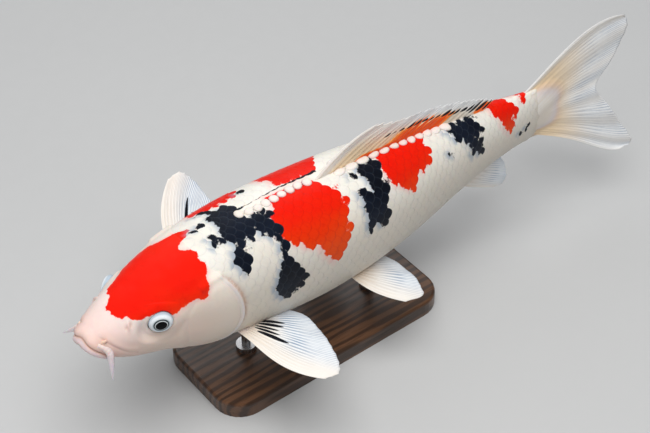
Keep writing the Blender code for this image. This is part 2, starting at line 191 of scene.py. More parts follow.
BLACK_PATCHES = (
    (   # the shoulder
        (127, -24), (134, -21), (142, -13), (135, -9), (137, -3), (136, 5), (135, 12), (133, 17), (138, 19),
        (140, 28), (135, 32), (132, 36), (130, 40), (135, 44), (137, 50), (139, 51), (144, 46), (149, 38),
        (147, 29), (151, 25), (154, 31), (157, 28), (160, 23), (161, 31), (167, 30), (168, 34), (172, 38),
        (176, 38), (181, 34), (179, 29), (177, 26), (180, 21), (182, 16), (177, 10), (170, 8), (161, 7),
        (156, 0), (156, -4), (161, -8), (158, -14), (150, -18), (140, -23),
    ),
    # spots round the shoulder
    ((122, 8), (131, 7), (134, 11), (132, 17), (125, 20), (124, 14)),
    ((120, -11), (126, -10), (128, -5), (123, -4)),
    ((116, -7), (119, -7), (119, -4), (116, -4)),
    ((169, -26), (176, -23), (178, -20), (170, -21)),
    ((176, 39), (181, 45), (179, 51), (174, 48)),
    (   # under the saddle
        (173, 50), (182, 55), (189, 69), (193, 81), (189, 91), (183, 96), (176, 98), (170, 100), (165, 91),
        (163, 76), (169, 62),
    ),
    (   # the middle
        (273, 6), (284, 9), (288, 14), (287, 21), (284, 28), (288, 37), (287, 43), (284, 48), (280, 49),
        (280, 60), (278, 66), (272, 71), (267, 64), (263, 65), (258, 72), (255, 71), (254, 62), (256, 52),
        (256, 44), (254, 37), (258, 32), (264, 37), (270, 35), (273, 28), (273, 22), (268, 20), (268, 12),
    ),
    ((257, 12), (260, 13), (259, 18), (257, 17)),
    (   # towards the tail
        (368, 12), (380, 6), (387, 9), (391, 6), (409, 3), (410, 7), (406, 10), (412, 16), (412, 20),
        (408, 24), (402, 23), (401, 26), (410, 34), (409, 40), (403, 45), (398, 42), (395, 48), (392, 40),
        (392, 28), (386, 28), (383, 20), (378, 25), (374, 24), (373, 16),
    ),
    ((360, 30), (366, 30), (367, 36), (361, 36)),
    ((459, 35), (465, 35), (465, 42), (459, 42)),
    ((469, 31), (474, 31), (474, 36), (470, 37)),
    # the right flank
    ((150, -62), (166, -58), (178, -66), (182, -84), (172, -98), (158, -92), (160, -78), (148, -74)),
    ((262, -50), (280, -46), (288, -62), (280, -84), (268, -92), (258, -76)),
    ((376, -26), (396, -22), (408, -30), (402, -48), (388, -56), (378, -44)),
)
# A dark line beside the middle of the back, and its half width along it
RIDGE_LINE = ((155, -3.8), (170, -1.4), (183, -2.6), (203, -4.4), (228, -3.5), (236, -4.7))
RIDGE_WIDTH = ((155, 1.3), (180, 1.5), (205, 1.6), (220, 2.1), (236, 2.4))

# Plump pale scales along the middle of the back and beside the dorsal fin: along, around.
PEARL_LINE = (
    (158, 2.5), (172, 5.4), (200, 3), (226, 3), (250, 7.5), (274, 6.3), (300, 5.4), (330, 5.6), (378, 7.6),
)
PEARL_STEP = ((158, 8), (222, 9), (262, 13), (296, 11.5), (322, 9.5), (378, 11))
PEARL_WIDTH = 9.2
PEARL_HEIGHT = 1.9

# The bake map: the body unwrapped, with a small patch of its own for each scale.
UV_LENGTH = 600            # millimetres along that fill it
UV_GIRTH = 420             # millimetres around that fill it
UV_PATCH = 0.003           # a scale's patch

NOISE_TABLE = 4096
NOISE_KEYS = (73856093, 19349663, 83492791)  # large primes, one for each axis
UPWARD = np.array([0, 0, 1.0])


# ---------------- small numeric helpers
def curve(table, x, column=1):
    """A smooth curve through a table's rows, read at an array of x."""
    rows = np.array(table, float)
    at, value = rows[:, 0], rows[:, column]
    slope = np.gradient(value, at)
    i = np.clip(np.searchsorted(at, x) - 1, 0, len(at) - 2)
    step = at[i + 1] - at[i]
    t = (x - at[i]) / step
    return (
        (2 * t**3 - 3 * t**2 + 1) * value[i]
        + (t**3 - 2 * t**2 + t) * step * slope[i]
        + (3 * t**2 - 2 * t**3) * value[i + 1]
        + (t**3 - t**2) * step * slope[i + 1]
    )


def ease(low, high, x):
    """0 at low and 1 at high, with a smooth rise between them."""
    t = np.clip((x - low) / (high - low), 0, 1)
    return t * t * (3 - 2 * t)


def hump(x, middle, width):
    return np.exp(-(((x - middle) / width) ** 2))


def unit(vectors):
    return vectors / np.maximum(np.linalg.norm(vectors, axis=-1, keepdims=True), 1e-12)


def lattice_noise(points, size, seed):
    """Smooth value noise from 0 to 1 at an array of 3-D points, its cells size wide."""
    table = np.random.default_rng(seed).random(NOISE_TABLE)
    scaled = points / size
    cell = np.floor(scaled).astype(np.int64)
    f = scaled - cell
    f = f * f * (3 - 2 * f)
    total = np.zeros(points.shape[:-1])
    for corner in np.ndindex(2, 2, 2):
        x, y, z = np.moveaxis((cell + corner) * NOISE_KEYS, -1, 0)
        wx, wy, wz = np.moveaxis(np.where(corner, f, 1 - f), -1, 0)
        total += wx * wy * wz * table[(x ^ y ^ z) % NOISE_TABLE]
    return total


def line_distance(x, y, line, closed=False):
    """Distance from each (x, y) to a line through the given points."""
    points = [np.array(p, float) for p in line]
    ends = points[1:] + points[:1] if closed else points[1:]
    best = np.full(np.shape(x), np.inf)
    for a, b in zip(points, ends):
        run = b - a
        t = np.clip(((x - a[0]) * run[0] + (y - a[1]) * run[1]) / (run @ run), 0, 1)
        best = np.minimum(best, np.hypot(x - a[0] - t * run[0], y - a[1] - t * run[1]))
    return best


def inside_distance(x, y, outline):
    """Distance to a closed outline, positive inside it."""
    inside = np.zeros(np.shape(x), bool)
    for (x0, y0), (x1, y1) in zip(outline, outline[1:] + outline[:1]):
        if y0 != y1:
            crossing = x0 + (y - y0) * (x1 - x0) / (y1 - y0)
            inside ^= ((y0 > y) != (y1 > y)) & (x < crossing)
    return np.where(inside, 1, -1) * line_distance(x, y, outline, closed=True)


# ---------------- the body's surface
ROOT_STATIONS = tuple((math.sqrt(row[0]), *row[1:]) for row in STATIONS)


def body_size(along):
    """The back's and the belly's heights, the half width and the height where it is widest."""
    root = np.sqrt(np.maximum(along, 0))
    return tuple(curve(ROOT_STATIONS, root, column) for column in (1, 2, 3, 4))


def place(along, out, up):
    """Points of the fish in the part's frame, still in millimetres."""
    turn = np.arctan((curve(SPINE, along + 1) - curve(SPINE, along - 1)) / 2)
    x = along - STAND_ALONG - out * np.sin(turn)
    y = curve(SPINE, along) + out * np.cos(turn)
    return np.stack(np.broadcast_arrays(x, y, up + AXIS_HEIGHT), axis=-1)


def tail_end(up):
    """Where the flesh ends, rounded like the root of the tail fin."""
    return 499 - 0.013 * up**2


def section(along, turn):
    """(out, up) on the right side: turn is 0 on the back, 90 degrees on the flank and 180 on the belly."""
    back, belly, half_width, widest = body_size(along)
    sideways, upward = np.sin(turn), np.cos(turn)
    power = np.where(upward > 0, curve(BACK_POWER, along), curve(BELLY_POWER, along))
    reach = np.where(upward > 0, back - widest, widest - belly)
    out = np.abs(sideways) ** (2 / power) * half_width
    up = widest + np.sign(upward) * np.abs(upward) ** (2 / power) * reach
    late = np.clip((along - TAIL_TAPER) / np.maximum(tail_end(up) - TAIL_TAPER, 1), 0, 1)
    return out * np.sqrt(1 - late**2), up


KNOTS = np.linspace(0.1, BODY_LENGTH, 1001)  # places along at which the girth is measured
SHARES = np.linspace(0, 1, 241)              # shares of the half girth


def girth_tables():
    """The half girth at each knot, and the turn of each share of it."""
    turn = np.linspace(0, math.pi, 721)
    out, up = section(KNOTS[:, None], turn[None, :])
    arc = np.cumsum(np.hypot(np.diff(out), np.diff(up)), axis=1)
    arc = np.concatenate([np.zeros((len(KNOTS), 1)), arc], axis=1)
    turns = np.stack([np.interp(SHARES * row[-1], row, turn) for row in arc])
    return arc[:, -1], turns


HALF_GIRTH, TURNS = girth_tables()


def half_girth(along):
    return np.interp(along, KNOTS, HALF_GIRTH)


def turn_at(along, share):
    """The turn for section at a share of the half girth."""
    row = np.clip((along - KNOTS[0]) / (KNOTS[1] - KNOTS[0]), 0, len(KNOTS) - 1.001)
    column = np.clip(share * (len(SHARES) - 1), 0, len(SHARES) - 1.001)
    i, j = row.astype(int), column.astype(int)
    a, b = row - i, column - j
    return (
        TURNS[i, j] * (1 - a) * (1 - b) + TURNS[i + 1, j] * a * (1 - b)
        + TURNS[i, j + 1] * (1 - a) * b + TURNS[i + 1, j + 1] * a * b
    )


def flank(along, around):
    """(out, up) of a place on the surface. Past the belly's middle it goes on up the other flank."""
    share = around / half_girth(along)
    share = (share + 1) % 2 - 1
    out, up = section(along, turn_at(along, np.abs(share)))
    return -np.sign(share) * out, up


def surface(along, around):
    return place(along, *flank(along, around))


def surface_normal(along, around):
    d = 0.6
    ahead = surface(along + d, around) - surface(along - d, around)
    round_it = surface(along, around + d) - surface(along, around - d)
    return unit(np.cross(round_it, ahead))


def past_head(along, share):
    """How far a place lies behind the head's rear edge, and from 0 to 1 whether that is the gill cover's."""
    return along - curve(REAR_LINE, share), ease(0.24, 0.32, share)


# ---------------- markings
def wobble(where, seed):
    """How far a patch's outline strays from its drawn line, in broad waves and in finer ones."""
    return 5 * (lattice_noise(where, 9, seed) - 0.5) + 2.5 * (lattice_noise(where, 4, seed + 1) - 0.5)


def markings(along, around):
    """Signed distances in millimetres into the red and the black, positive inside."""
    where = np.stack(np.broadcast_arrays(along, around, 0 * along), axis=-1)
    x, y = along + wobble(where, 11), around + wobble(where, 13)
    return tuple(
        np.max([inside_distance(x, y, outline) for outline in patches], axis=0)
        for patches in (RED_PATCHES, BLACK_PATCHES)
    )


def painted_low_shade(share):
    """How much painted shade darkens the white, from the back down the flank, where light from above falls
    less.
    """
    return 0.75 * ease(0.1, 0.55, share)


def bake_place(along, around, x, y):
    """The bake map's place for a point of a scale, where x and y run from -1 to 1 over that scale."""
    u = along / UV_LENGTH + UV_PATCH / 2 * x
    v = 0.5 + around / UV_GIRTH + UV_PATCH / 2 * y
    return np.stack(np.broadcast_arrays(u, v), axis=-1)


# ---------------- mesh building
def grid_quads(rows, columns, wrap=False):
    """Quads over a grid of points laid out row by row."""
    i = np.arange(rows - 1)[:, None] * columns
    j = np.arange(columns if wrap else columns - 1)[None, :]
    k = (j + 1) % columns
    corners = np.stack([i + j, i + k, i + columns + k, i + columns + j], axis=-1)
    return corners.reshape(-1, 4)


def shell_faces(rows, columns):
    """A closed thin shell: a front grid, the same grid behind it with its faces turned, and a rim."""
    count = rows * columns
    front = grid_quads(rows, columns)
    behind = front[:, ::-1] + count
    index = np.arange(count).reshape(rows, columns)
    loop = np.concatenate([index[0], index[1:, -1], index[-1, -2::-1], index[-2:0:-1, 0]])
    after = np.roll(loop, -1)
    rim = np.stack([after, loop, loop + count, after + count], axis=-1)
    return np.concatenate([front, behind, rim])


def tube_faces(rings, sides):
    """Faces over a tube of rings whose two end points follow its last ring, turned to face out."""
    count = rings * sides
    loop = np.arange(sides)
    after = (loop + 1) % sides
    last = count - sides
    return [
        grid_quads(rings, sides, wrap=True),
        np.stack([np.full(sides, count), after, loop], axis=-1),
        np.stack([np.full(sides, count + 1), last + loop, last + after], axis=-1),
    ]


def circle(sides):
    """The angles of the points round a ring, as a row."""
    return (np.arange(sides) / sides * 2 * math.pi)[None, :]


def build(name, points, faces, finish, values, uv=None):
    """A mesh riding on the part, from points in millimetres and arrays of quads and of triangles.

    The values are named arrays with one number for each point, and uv has one place for each point.
    """
    mesh = bpy.data.meshes.new(name)
    corners = np.concatenate([group.ravel() for group in faces])
    sizes = np.concatenate([np.full(len(group), group.shape[1]) for group in faces])
    starts = np.cumsum(sizes) - sizes
    mesh.vertices.add(len(points))
    mesh.vertices.foreach_set("co", (points * MM).astype(np.float32).ravel())
    mesh.loops.add(len(corners))
    mesh.loops.foreach_set("vertex_index", corners.astype(np.int32))
    mesh.polygons.add(len(sizes))
    mesh.polygons.foreach_set("loop_start", starts.astype(np.int32))
    mesh.update(calc_edges=True)
    for key, value in values.items():
        layer = mesh.attributes.new(key, "FLOAT", "POINT")
        layer.data.foreach_set("value", np.ascontiguousarray(value, np.float32).ravel())
    if uv is not None:
        layer = mesh.uv_layers.new(name="OFBake")
        layer.data.foreach_set("uv", uv[corners].astype(np.float32).ravel())
    mesh.shade_smooth()
    mesh.materials.append(finish)
    made = bpy.data.objects.new(name, mesh)
    bpy.context.scene.collection.objects.link(made)
    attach(made, "root")
    return made


# ---------------- materials
class Nodes:
    """A short way to write a material's nodes."""

    def __init__(self, name):
        self.material = bpy.data.materials.new(name)
        self.material.use_nodes = True
        self.tree = self.material.node_tree
        self.shader = self.tree.nodes["Principled BSDF"]

    def node(self, kind, inputs, **settings):
        made = self.tree.nodes.new(kind)
        for key, value in settings.items():
            setattr(made, key, value)
        for key, value in inputs.items():
            self.put(made.inputs[key], value)
        return made

    def put(self, socket, value):
        if isinstance(value, bpy.types.NodeSocket):
            self.tree.links.new(value, socket)
        elif socket.type == "RGBA":
            socket.default_value = (*value, 1)
        else:
            socket.default_value = value

    def attribute(self, name):
        return self.node("ShaderNodeAttribute", {}, attribute_name=name).outputs["Fac"]

    def maths(self, operation, *values):
        return self.node("ShaderNodeMath", dict(enumerate(values)), operation=operation).outputs[0]

    def add(self, a, b):
        return self.maths("ADD", a, b)

    def scaled(self, value, factor, start=0.0):
        return self.maths("MULTIPLY_ADD", value, factor, start)

    def steps(self, value, low, high, to_low=0.0, to_high=1.0):
        """Reads value from low to high as a smooth rise."""
        inputs = {"Value": value, "From Min": low, "From Max": high, "To Min": to_low, "To Max": to_high}
        return self.node("ShaderNodeMapRange", inputs, interpolation_type="SMOOTHSTEP").outputs["Result"]

    def position(self, stretch):
        """The part's own coordinates, in metres."""
        at = self.node("ShaderNodeTexCoord", {}).outputs["Object"]
        return self.node("ShaderNodeMapping", {"Vector": at, "Scale": stretch}).outputs[0]

    def noise(self, size, detail=3.0, roughness=0.5, stretch=(1, 1, 1)):
        """Noise whose grains are about size metres wide."""
        inputs = {
            "Vector": self.position(stretch), "Scale": 1 / size, "Detail": detail, "Roughness": roughness,
        }
        return self.node("ShaderNodeTexNoise", inputs).outputs["Fac"]

    def jitter(self, size, detail, spread):
        """The same noise about 0, from half of spread below it to half of spread above."""
        return self.scaled(self.noise(size, detail), spread, -spread / 2)

    def ripples(self, x, y=0.0, distortion=1.0, detail=1.0):
        """Waves that follow each other along x."""
        at = self.node("ShaderNodeCombineXYZ", {0: x, 1: y}).outputs[0]
        inputs = {"Vector": at, "Scale": 1.0, "Distortion": distortion, "Detail": detail}
        return self.node("ShaderNodeTexWave", inputs).outputs["Fac"]

    def blend(self, share, a, b):
        return self.node("ShaderNodeMix", {0: share, 6: a, 7: b}, data_type="RGBA").outputs[2]

    def finish(self, colour, roughness, height, depth, strength, **fixed):
        """Joins the shader up: depth is the bump's, in metres, and fixed values go on its other sockets."""
        bump = {"Height": height, "Distance": depth, "Strength": strength}
        self.put(self.shader.inputs["Base Color"], colour)
        self.put(self.shader.inputs["Roughness"], roughness)
        self.put(self.shader.inputs["Normal"], self.node("ShaderNodeBump", bump).outputs["Normal"])
        for key, value in fixed.items():
            self.shader.inputs[key.replace("_", " ")].default_value = value
        return self.material


WHITE = (0.84, 0.79, 0.73)
CREAM = (0.82, 0.75, 0.67)
# Painted shade: the white as it looks down the flank, away from the light above.
PAINTED_SHADE_WHITE = (0.70, 0.60, 0.51)
GREY_WHITE = (0.66, 0.64, 0.63)
# Painted shade at the edges of white scales.
PAINTED_EDGE_SHADE_WHITE = (0.60, 0.57, 0.56)
PALE_BLUE = (0.60, 0.68, 0.78)
PINK = (0.84, 0.48, 0.46)
# Painted shade for creases and hollows.
PAINTED_SHADE_BROWN = (0.50, 0.26, 0.16)
RED = (0.80, 0.009, 0.002)
DEEP_RED = (0.55, 0.01, 0.004)
# Painted shade at the edges of red scales.
PAINTED_EDGE_SHADE_RED = (0.60, 0.010, 0.004)
ORANGE = (0.84, 0.075, 0.006)
INK = (0.004, 0.005, 0.009)
INK_BLUE = (0.008, 0.012, 0.024)
# Painted highlight at the edges of black scales.
PAINTED_EDGE_HIGHLIGHT_INK = (0.035, 0.043, 0.060)
SASHI_BLUE = (0.25, 0.32, 0.43)


def skin_colour(n):
    """The koi's white, red and black, from the point values that the skin and the scales share."""
    # The low value is painted shade: it darkens the white down the flank and over the lower head. The red
    # turns orange by the same value.
    low = n.attribute("low")
    broad = n.noise(0.045)
    fine = n.noise(0.0035)
    edge_grain = n.jitter(0.0022, 2, 2.2)
    # Painted light at each scale's edge: a darker line of painted shade on the white and the red, a lighter
    # line of painted highlight on the black.
    painted_edge_light = n.steps(n.attribute("rim"), 0.82, 0.97)
    white = n.blend(n.steps(broad, 0.35, 0.7), WHITE, CREAM)
    white = n.blend(n.steps(fine, 0.45, 0.8, to_high=0.35), white, GREY_WHITE)
    white = n.blend(low, white, PAINTED_SHADE_WHITE)
    white = n.blend(n.attribute("blush"), white, PINK)
    white = n.blend(n.attribute("blue"), white, PALE_BLUE)
    white = n.blend(n.scaled(n.attribute("red_tint"), 0.75), white, PINK)
    white = n.blend(n.scaled(painted_edge_light, 0.12), white, PAINTED_EDGE_SHADE_WHITE)
    red = n.blend(n.steps(n.scaled(broad, 0.5, low), 0.2, 0.95), RED, ORANGE)
    red = n.blend(n.steps(fine, 0.5, 0.8, to_high=0.25), red, DEEP_RED)
    red = n.blend(n.scaled(painted_edge_light, 0.18), red, PAINTED_EDGE_SHADE_RED)
    ink = n.blend(n.steps(broad, 0.35, 0.75), INK, INK_BLUE)
    ink = n.blend(n.scaled(painted_edge_light, 0.3), ink, PAINTED_EDGE_HIGHLIGHT_INK)
    colour = n.blend(n.steps(n.add(n.attribute("red"), edge_grain), -0.35, 0.35), white, red)
    colour = n.blend(n.scaled(n.attribute("black_tint"), 0.75), colour, SASHI_BLUE)
    colour = n.blend(n.steps(n.add(n.attribute("black"), edge_grain), -0.35, 0.35), colour, ink)
    # The brown is painted shade: where the lips meet, in the cleft behind the gill cover, in the nostrils
    # and round the barbels' feet.
    return n.blend(n.attribute("painted_crease_shade"), colour, PAINTED_SHADE_BROWN)


def skin_material():
    n = Nodes("koi_skin")
    return n.finish(
        skin_colour(n), n.steps(n.noise(0.006), 0.3, 0.75, 0.36, 0.52),
        n.scaled(n.noise(0.0016), 0.5, n.noise(0.0009, 2)), 0.0002, 0.22,
        Specular_IOR_Level=0.2, Subsurface_Weight=0.12, Subsurface_Scale=0.004,
    )


def scale_material():
    """The skin's colours, with fine ribs and rings over each scale."""
    n = Nodes("koi_scales")
    across, back = n.scaled(n.attribute("across"), 3.0), n.scaled(n.attribute("back"), 0.6)
    ribs = n.ripples(across, back, distortion=0.6)
    rings = n.ripples(n.scaled(n.attribute("rim"), 2.6), distortion=0.4, detail=2.0)
    height = n.scaled(ribs, 0.5, n.scaled(rings, 0.4, n.noise(0.0012, 2)))
    rough = n.scaled(n.attribute("tone"), 0.03, n.steps(n.noise(0.006), 0.3, 0.75, 0.32, 0.48))
    return n.finish(
        skin_colour(n), rough, height, 0.00012, 0.2,
        Specular_IOR_Level=0.13, Subsurface_Weight=0.10, Subsurface_Scale=0.003,
    )


def fin_material():
    """Pale ribs over a thinner membrane, with flames of red, black streaks and joints across the rays, and a
    painted see-through that turns the membrane dark blue towards the tips.
    """
    n = Nodes("koi_fins")
    ray, painted_see_through, red = n.attribute("ray"), n.attribute("painted_see_through"), n.attribute("red")
    # Painted see-through: towards the tips the membrane turns dark blue and the ribs pale blue, as if a dark
    # background showed through the thin fin.
    membrane = n.blend(painted_see_through, (0.84, 0.77, 0.69), (0.20, 0.30, 0.46))
    ribs = n.blend(painted_see_through, (0.86, 0.82, 0.77), (0.78, 0.83, 0.88))
    colour = n.blend(n.steps(n.add(ray, n.jitter(0.02, 3, 0.8)), -0.1, 0.6), membrane, ribs)
    colour = n.blend(n.attribute("blush"), colour, (0.88, 0.62, 0.36))
    # The stalk's flesh over the tail fin's root, in a darker white: partly its own colour, partly painted
    # shade like the flank's.
    colour = n.blend(n.attribute("flesh"), colour, (0.76, 0.69, 0.61))
    colour = n.blend(n.attribute("lilac"), colour, (0.66, 0.56, 0.60))
    # The flames are the dorsal fin's own red, painted lighter and more orange than the body's red: partly
    # painted light, standing in for light through the thin fin.
    flame = n.blend(n.steps(red, 0.35, 1.0), (1.0, 0.40, 0.08), (1.0, 0.16, 0.02))
    flame = n.blend(n.steps(red, 1.0, 1.4), flame, ORANGE)
    colour = n.blend(n.steps(n.add(red, n.jitter(0.003, 2, 1.0)), 0.25, 0.7), colour, flame)
    colour = n.blend(n.steps(n.add(n.attribute("black"), n.jitter(0.0015, 2, 0.5)), 0.35, 0.6), colour, INK)
    joints = n.ripples(n.scaled(n.attribute("out"), 7.0))
    height = n.scaled(joints, n.scaled(ray, 0.6), n.noise(0.0012))
    return n.finish(
        colour, n.steps(n.noise(0.008), 0.3, 0.75, 0.32, 0.5), height, 0.00015, 0.25,
        Specular_IOR_Level=0.25,
        Subsurface_Weight=0.25, Subsurface_Scale=0.003, Subsurface_Radius=(1, 0.9, 0.8),
    )


def barbel_material():
    n = Nodes("koi_barbels")
    colour = n.blend(n.steps(n.attribute("out"), 0.1, 0.8), (0.82, 0.66, 0.63), (0.76, 0.70, 0.78))
    colour = n.blend(n.steps(n.noise(0.002), 0.4, 0.8, to_high=0.4), colour, (0.88, 0.82, 0.80))
    colour = n.blend(n.attribute("warm"), colour, (0.88, 0.58, 0.40))
    return n.finish(
        colour, n.steps(n.noise(0.003, 2), 0.3, 0.7, 0.28, 0.42), n.noise(0.0009), 0.0002, 0.3,
        Subsurface_Weight=0.2, Subsurface_Scale=0.003, Coat_Weight=0.3, Coat_Roughness=0.15,
    )


PUPIL = (0.003, 0.003, 0.004)
EYE_RINGS = (              # (distance from the middle over the eye's radius, colour)
    (0.00, PUPIL), (0.45, PUPIL),
    (0.475, (0.55, 0.60, 0.62)), (0.51, (0.66, 0.71, 0.74)),
    (0.54, (0.03, 0.035, 0.04)), (0.60, (0.04, 0.05, 0.055)),
    (0.65, (0.42, 0.50, 0.55)), (0.74, (0.78, 0.83, 0.87)),
    (0.92, (0.74, 0.80, 0.86)), (1.00, (0.40, 0.49, 0.58)),
)


def eye_material():
    n = Nodes("koi_eyes")
    ring = n.add(n.attribute("ring"), n.jitter(0.0012, 2, 0.012))
    ramp = n.node("ShaderNodeValToRGB", {"Fac": ring})
    stops = ramp.color_ramp.elements
    for at, _ in EYE_RINGS[1:-1]:
        stops.new(at)
    for stop, (_, colour) in zip(stops, EYE_RINGS):
        stop.color = (*colour, 1)
    mottle = n.scaled(n.steps(n.noise(0.0018), 0.4, 0.8), n.steps(ring, 0.66, 0.8, 0.0, 0.25))
    return n.finish(
        n.blend(mottle, ramp.outputs[0], (0.52, 0.58, 0.62)),
        n.steps(ring, 0.5, 0.9, 0.12, 0.25), n.noise(0.0016, 2), 0.0001, 0.1,
        Specular_IOR_Level=0.06, Coat_Weight=0.06, Coat_Roughness=0.04,
    )


def walnut_material():
    n = Nodes("walnut")
    grain = {
        "Vector": n.position((1.6, 12, 12)), "Scale": 3.2,
        "Distortion": 7.0, "Detail": 3.0, "Detail Scale": 1.4,
    }
    rings = n.node("ShaderNodeTexWave", grain, bands_direction="Y").outputs["Fac"]
    pores = n.noise(0.0016, 4, 0.6, stretch=(0.06, 1, 1))
    colour = n.blend(n.steps(rings, 0.15, 0.9), (0.115, 0.052, 0.024), (0.040, 0.018, 0.009))
    colour = n.blend(n.steps(pores, 0.52, 0.75, to_high=0.6), colour, (0.018, 0.009, 0.005))
    return n.finish(
        colour, n.steps(pores, 0.35, 0.75, 0.30, 0.52),
        n.maths("SUBTRACT", n.scaled(rings, 0.3), pores), 0.0003, 0.35,
        Coat_Weight=0.25, Coat_Roughness=0.25,
    )


def steel_material():
    n = Nodes("brushed_steel")
    brushed = n.noise(0.0006, 3, 0.6, stretch=(1, 1, 0.05))
    colour = n.blend(n.steps(n.noise(0.01), 0.3, 0.7), (0.60, 0.60, 0.61), (0.50, 0.50, 0.51))
    return n.finish(colour, n.steps(brushed, 0.3, 0.7, 0.22, 0.38), brushed, 0.0001, 0.25, Metallic=1.0)


def floor_material():
    n = Nodes("floor")
    colour = n.blend(n.noise(0.5, 2), (0.49, 0.50, 0.51), (0.52, 0.53, 0.54))
    return n.finish(colour, n.steps(n.noise(0.02), 0.3, 0.7, 0.6, 0.75), n.noise(0.002, 2), 0.0002, 0.1)


# ---------------- the skin
MERIDIANS = 300
REAR_RING = 125            # the ring that follows the rear edge of the gill covers
REAR_BEND = (40, 225)      # the rings between these bend towards it
RING_GAPS = (              # (along, distance to the next ring)
    (0, 0.22), (4, 0.32), (20, 0.42), (30, 0.8), (90, 0.8), (105, 0.62), (145, 0.62), (165, 4), (500, 4),
)
UPPER_LIP = 0.8
LOWER_LIP = 1.6
LIP_SLIT = 1.2
GILL_HEIGHT = 2.2          # the gill cover over the body
GILL_STEP = 1.0            # how much lower its soft rear edge is
CLEFT_DEPTH = 2.2          # behind it
NOSTRIL_PLACE = (33, 23.5)                   # along, around
NOSTRIL_FLAP = 2.0
SWELL = 0.55               # how uneven the head's skin is
SOCKET_LIFT = 1.7          # the most that the skin rises to an eye's rim
SOCKET_DEPTH = 4.0         # its drop under the eye
NO_MARK = -20              # far outside every patch

FOLDS = (                  # on the head's side: a line of (along, up), its height and its half width
    # behind the lips, and the cheek over that fold
    (((12, 13), (14.5, 9.4), (17.5, 5.8), (22.5, 0.2), (28, -5), (34, -8)), -0.5, 1.2),
    (((16, 12), (20, 7), (26, 1), (33, -3)), 0.5, 2.4),
    # the chin's corner, and along the jaw
    (((20, -9), (23, -16), (24, -24)), -0.5, 1.4),
    (((34, -12), (48, -20), (66, -28)), -0.25, 2.4),
    # under the eye
    (((47, 2), (53, -4), (62, -7), (72, -3), (76, 6)), -0.25, 2.2),
    # the gill cover's front groove with the rise before it, its top ridge and its lower seam
    (((106, 27), (98, 23), (88, 20), (81, 12), (79, -4), (80, -20), (86, -36), (95, -46)), -0.3, 1.9),
    (((76, 14), (73, -4), (75, -22), (82, -37)), 0.3, 3.5),
    (((116, 33.5), (106, 32), (98, 29)), 1.9, 2.4),
    (((86, -38), (98, -40), (110, -36), (121, -26)), -0.35, 1.4),
)


def ring_places():
    """Where the skin's rings lie along the fish."""
    gaps = np.array(RING_GAPS, float)
    places = [0.2]
    while places[-1] < BODY_LENGTH:
        places.append(places[-1] + np.interp(places[-1], gaps[:, 0], gaps[:, 1]))
    return np.array(places[:-1])


def eye_frame(side):
    """The eye's centre, its pupil's direction, and its oval's long and short axes. The left side is -1."""
    along, out, up = EYE_CENTRES[side]
    centre = place(along, side * out, up)
    rear = (place(along + 1, 0, 0) - place(along - 1, 0, 0)) / 2
    right = np.array([-rear[1], rear[0], 0])
    axis = unit(rear * EYE_AXIS[0] + side * right * EYE_AXIS[1] + UPWARD * EYE_AXIS[2])
    level = unit(np.cross(axis, UPWARD))
    beside = np.cross(axis, level)
    tilt = -side * EYE_TILT
    wide = level * math.cos(tilt) + beside * math.sin(tilt)
    tall = beside * math.cos(tilt) - level * math.sin(tilt)
    return centre, axis, wide, tall


def eye_distance(points, side):
    """(height along the eye's axis, distance from it), stretched so that the eye's oval is a circle."""
    centre, axis, wide, tall = eye_frame(side)
    offset = points - centre
    return offset @ axis, np.hypot(offset @ wide, offset @ tall / EYE_OVAL)


def gape_offset(out, up):
    """How far a place on the snout lies above the line where the lips meet."""
    o = np.minimum(np.abs(out), GAPE_LINE[-1][0])
    slope = (curve(GAPE_LINE, o + 0.2) - curve(GAPE_LINE, o - 0.2)) / 0.4
    return (up - curve(GAPE_LINE, o)) / np.sqrt(1 + slope**2)


def mouth_relief(along, out, up):
    """The lips above and below the line where they meet, flatter in front, and their bounding folds."""
    off = gape_offset(out, up)
    front = ease(10, 2, np.abs(out))
    slit = (0.8 * front - LIP_SLIT) * hump(off, 0, 0.6)
    upper = UPPER_LIP * hump(off, 2.4, 1.9) - 0.25 * hump(off, 6.2, 1.3)
    lower = (LOWER_LIP - 0.5 * front) * hump(off, -3.6 - front, 2.8) - 0.6 * hump(off, -8.0, 1.5)
    under = -0.25 * ease(0.5, -2, off) * ease(-13, -7, off) * ease(12, 4, np.abs(out))
    return slit * ease(17, 14, along) + (upper + lower + under) * ease(19, 13, along)


def fold_relief(along, up):
    """The folds and grooves on the head's side."""
    return sum(height * hump(line_distance(along, up, line), 0, width) for line, height, width in FOLDS)


def gill_relief(along, share):
    """The gill cover with its soft rear edge, the cleft behind it, and the skin's drop under the scales."""
    behind, gill = past_head(along, share)
    bone = (GILL_HEIGHT - GILL_STEP * ease(-6.0, -4.2, behind)) * ease(-50, -8, behind)
    membrane = 0.7 * hump(behind, -1.4, 1.8)
    cleft = -CLEFT_DEPTH * hump(behind, 1.4, 2.8)
    return gill * np.where(behind > 0, cleft, bone + membrane) - COAT_DEPTH * ease(-0.2, 0.7, behind)


def socket_relief(points):
    """The skin rises to the rim of each eye and drops under the eye itself."""
    total = 0
    for side in (-1, 1):
        height, off = eye_distance(points, side)
        rim = EYE_RIM_HEIGHT - 0.3 + 0.5 * hump(off, 12.8, 1.5) - 0.4 * hump(off, 10.7, 0.6)
        lift = 0.88 * (rim - height)
        lift = np.where(lift > 0, SOCKET_LIFT * np.tanh(lift / SOCKET_LIFT), lift)
        held = np.where(height > 0, ease(22, 12.5, off), 0)
        total = total + held * (lift - SOCKET_DEPTH * ease(EYE_RIM, EYE_RIM - 1.5, off))
    return total


